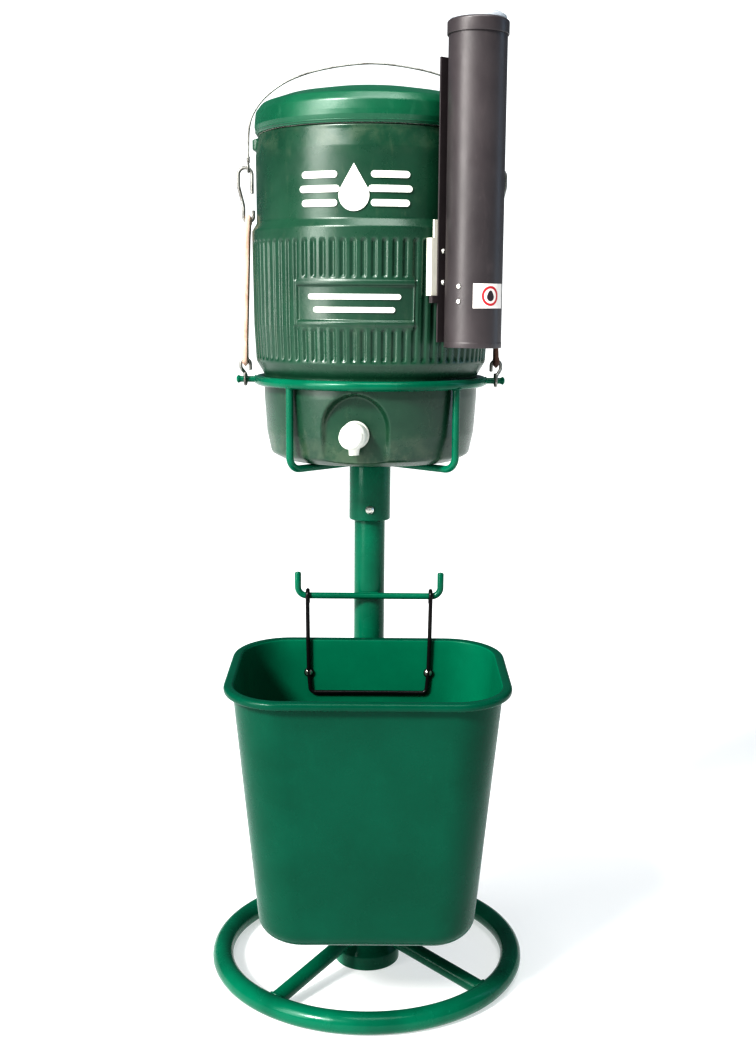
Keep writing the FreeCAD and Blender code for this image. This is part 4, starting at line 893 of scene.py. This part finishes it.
def bin_loop(height, outward, corner_steps=14, side_steps=10):
    """Rounded rectangle of the bin wall at a height, moved outwards by a distance."""
    share = (min(height, RIM_TOP) - FLOOR) / (RIM_LOW - FLOOR)
    width = FOOT_W + share * (BIN_W - 2 * RIM_OUT - FOOT_W) + 2 * outward
    depth = FOOT_D + share * (BIN_D - 2 * RIM_OUT - FOOT_D) + 2 * outward
    corner = max(FOOT_CORNER + share * (BIN_CORNER - RIM_OUT - FOOT_CORNER) + outward, 2.0)
    x, y = width / 2 - corner, depth / 2 - corner
    loop = []
    for number, (sx, sy) in enumerate(((1, 1), (-1, 1), (-1, -1), (1, -1))):
        for k in range(corner_steps + 1):
            a = math.radians(90 * number + 90 * k / corner_steps)
            loop.append((sx * x + corner * math.cos(a), sy * y + corner * math.sin(a)))
        nx, ny = ((-1, 1), (-1, -1), (1, -1), (1, 1))[number]
        start = Vector(loop[-1])
        a = math.radians(90 * (number + 1))
        end = Vector((nx * x + corner * math.cos(a), ny * y + corner * math.sin(a)))
        loop.extend(tuple(start.lerp(end, k / side_steps)) for k in range(1, side_steps))
    return [(px, py + BIN_MIDDLE, height) for px, py in loop]


def floor_rows(height, shares):
    """Rows of a flat floor, each a share of the way out from its middle."""
    return [[(x * share, BIN_MIDDLE + (y - BIN_MIDDLE) * share, height)
             for x, y, z in bin_loop(height, -BIN_EDGE)] for share in shares]


def bin_wall():
    """Wall mesh, and how many of its faces are outside.

    Rows run from the middle of the underside, up the outside, over the rim and down the inside.
    """
    quarter = [math.radians(90 * k / EDGE_ROWS) for k in range(EDGE_ROWS + 1)]
    rows = floor_rows(FLOOR, (0.35, 0.7))
    rows.extend(bin_loop(FLOOR + BIN_EDGE * (1 - math.cos(a)), -BIN_EDGE * (1 - math.sin(a)))
                for a in quarter)
    rows.extend(bin_loop(FLOOR + BIN_EDGE + (RIM_LOW - 2 - FLOOR - BIN_EDGE) * k / WALL_ROWS, 0.0)
                for k in range(1, WALL_ROWS))
    rim = rounded([(0.0, RIM_LOW - 2.5), (0.0, RIM_LOW, 1.6), (RIM_OUT, RIM_LOW - 0.4, 3.6),
                   (RIM_OUT, RIM_TOP, 5.4), (-BIN_WALL, RIM_TOP, 3.2), (-BIN_WALL, RIM_LOW - 6)], steps=7)
    rows.extend(bin_loop(z, out) for out, z in rim)
    outer_faces = (len(rows) - 4) * len(rows[-1])
    inner_floor = FLOOR + BIN_WALL
    inner_edge = BIN_EDGE - BIN_WALL
    inner_height = inner_floor + inner_edge - RIM_LOW + 6
    rows.extend(bin_loop(RIM_LOW - 6 + inner_height * k / WALL_ROWS, -BIN_WALL)
                for k in range(1, WALL_ROWS))
    rows.extend(bin_loop(inner_floor + inner_edge * (1 - math.cos(a)),
                         -BIN_WALL - inner_edge * (1 - math.sin(a))) for a in quarter[::-1])
    rows.extend(floor_rows(inner_floor, (0.7, 0.35)))
    rows.append([(0, BIN_MIDDLE, inner_floor)])
    return lofted([[(0, BIN_MIDDLE, FLOOR)]] + rows), outer_faces


tub_shape, outer_faces = bin_wall()
tub = piece("bin_tub", *tub_shape, BIN_GREEN, body="bin_unit", place=BIN, nodes=["bin"], sharp=60)
# Inner faces take the lighter copy of the plastic: painted light inside the tub.
tub.data.materials.append(BIN_INSIDE_PAINTED_LIGHT)
for face in tub.data.polygons[outer_faces:]:
    face.material_index = 1


def wall_face(height):
    """Inner face of the bin's back wall at a height."""
    share = (height - FLOOR) / (RIM_LOW - FLOOR)
    taper = (BIN_D - 2 * RIM_OUT - FOOT_D) / 2
    return -0.5 - RIM_OUT - BIN_WALL - (1 - share) * taper


HANGER_R, HANGER_SPREAD = 2.75, 84.5
SCREW_SPREAD, SCREW_DROP = 82.4, -105
loop_r = BAR_ROD + 0.35 + HANGER_R
lean = HANGER_R + 0.4
hanger_leg = [(HANGER_SPREAD, loop_r, -12), (HANGER_SPREAD, loop_r, loop_r),
              (HANGER_SPREAD, -loop_r, loop_r), (HANGER_SPREAD, -loop_r, -6),
              (83.5, wall_face(RIM_LOW) - lean, RIM_LOW + 12),
              (SCREW_SPREAD, wall_face(SCREW_DROP) - lean, SCREW_DROP),
              (79.9, wall_face(SCREW_DROP - 28) - lean, SCREW_DROP - 28)]
hanger_points = hanger_leg + [(-x, y, z) for x, y, z in hanger_leg[::-1]]
hanger_bends = [loop_r - 0.05, loop_r - 0.05, 14, 14, 14, 7]
tab = rounded([(0, 0), (6.5, 0, 0.5), (6.5, 3, 0.5), (0, 3)], steps=3)
tab_verts, tab_faces = spun(tab, 32)
tabs = [([(side * SCREW_SPREAD + x, wall_face(SCREW_DROP) - 3.6 + z, SCREW_DROP - y)
          for x, y, z in tab_verts], tab_faces) for side in (-1, 1)]
hanger_path = bent(hanger_points, hanger_bends + hanger_bends[::-1], 8)
piece("bin_hanger_wire", *joined([swept(hanger_path, HANGER_R, 20)] + tabs), BLACK_WIRE,
      body="bin_unit", place=BIN, nodes=["bin_hanger"])

# ------------------------------------------------------------------ finishes of the other CAD nodes
FINISHES = {
    ZINC: ("sleeve_bolt", "sleeve_nut", "tube_screws", "plate_screws", "bin_screws", "bin_nuts"),
    WHITE: ("cooler_liner", "lid_liner", "tap_stem", "tap_nut"),
    FOAM: ("cooler_foam", "lid_foam"),
    DARK_RUBBER: ("lid_gasket", "tap_gasket", "tap_seal", "tap_liner_washer"),
    WIRE: ("tap_spring",),
    MARKING: ("front_emblem", "panel_stripes"),
    CHARCOAL: ("cup_throat", "cup_plate"),
    SPACER: ("cup_spacer",),
}
for look, names in FINISHES.items():
    for name in names:
        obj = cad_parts[name]
        obj.data.materials.clear()
        obj.data.materials.append(look)

# ------------------------------------------------------------------ floor, light and camera
def stage_plane(name, size, height, look):
    mesh = bpy.data.meshes.new(name)
    mesh.from_pydata([(-size, -size, height), (size, -size, height), (size, size, height),
                      (-size, size, height)], [], [(0, 1, 2, 3)])
    mesh.materials.append(look)
    obj = bpy.data.objects.new(name, mesh)
    bpy.context.scene.collection.objects.link(obj)


floor_look = Shader("studio_floor")
floor_color = floor_look.blend(floor_look.remap(floor_look.noise(2.5, 3), 0.3, 0.7),
                               (0.58, 0.59, 0.595), (0.61, 0.61, 0.61))
floor_look.finish(floor_color, floor_look.remap(floor_look.noise(6, 2), 0.3, 0.7, 0.8, 0.95),
                  Specular_IOR_Level=0.0, Emission_Color=(1.0, 1.0, 1.0, 1.0), Emission_Strength=0.42)
stage_plane("studio_floor", 60.0, -0.0006, floor_look.material)

world = bpy.data.worlds.new("studio")
bpy.context.scene.world = world
world.use_nodes = True
nodes, links = world.node_tree.nodes, world.node_tree.links
background = nodes["Background"]
background.inputs["Color"].default_value = (0.72, 0.88, 1.0, 1.0)
background.inputs["Strength"].default_value = 0.15
sky = nodes.new("ShaderNodeBackground")
sky.inputs["Color"].default_value = (0.93, 0.94, 0.95, 1.0)
sky.inputs["Strength"].default_value = 1.0
path = nodes.new("ShaderNodeLightPath")
mixed = nodes.new("ShaderNodeMixShader")
links.new(path.outputs["Is Camera Ray"], mixed.inputs[0])
links.new(background.outputs[0], mixed.inputs[1])
links.new(sky.outputs[0], mixed.inputs[2])
links.new(mixed.outputs[0], nodes["World Output"].inputs["Surface"])


def aimed(light, at, target):
    bpy.context.scene.collection.objects.link(light)
    light.location = at
    light.rotation_mode = "QUATERNION"
    light.rotation_quaternion = (Vector(target) - Vector(at)).to_track_quat("-Z", "Y")


def area_light(name, at, target, size, power, color=(1, 1, 1)):
    data = bpy.data.lights.new(name, "AREA")
    data.shape = "RECTANGLE"
    data.size, data.size_y = size
    data.energy = power
    data.color = color
    light = bpy.data.objects.new(name, data)
    light.visible_camera = False
    aimed(light, at, target)


key = bpy.data.lights.new("key_light", "SUN")
key.energy = 3.9
key.angle = math.radians(12)
key.color = (1.0, 0.98, 0.95)
azimuth, elevation = math.radians(-40), math.radians(38)
aimed(bpy.data.objects.new("key_light", key),
      (4 * math.sin(azimuth) * math.cos(elevation), -4 * math.cos(azimuth) * math.cos(elevation),
       4 * math.sin(elevation)), (0, 0, 0))
area_light("front_softbox", (-1.9, -1.55, 1.6), (0, 0, 0.8), (1.0, 2.2), 52, (1.0, 0.97, 0.94))
area_light("top_softbox", (0.2, -0.9, 3.0), (0, 0, 0.5), (1.4, 1.4), 34, (1.0, 0.99, 0.97))
area_light("right_strip", (2.6, 0.3, 1.4), (0, 0, 0.7), (0.4, 2.2), 6, (0.52, 0.76, 1.0))

camera_data = bpy.data.cameras.new("camera")
SENSOR = 36
camera_data.sensor_width = SENSOR
camera_data.lens = 1312.9 / 1046 * SENSOR
camera = bpy.data.objects.new("camera", camera_data)
bpy.context.scene.collection.objects.link(camera)
yaw, pitch, roll = 0.0024, math.radians(9.39), 0.0077
forward = Vector((math.sin(yaw) * math.cos(pitch), math.cos(yaw) * math.cos(pitch), -math.sin(pitch)))
level = Vector((math.cos(yaw), -math.sin(yaw), 0))
right = level * math.cos(roll) + level.cross(forward) * math.sin(roll)
above = right.cross(forward)
camera.matrix_world = Matrix.Translation((0.0072, -1.794, 0.939)) @ Matrix(
    (right, above, -forward)).transposed().to_4x4()
bpy.context.scene.camera = camera
bpy.context.scene.view_settings.view_transform = "Standard"
bpy.context.scene.view_settings.look = "High Contrast"
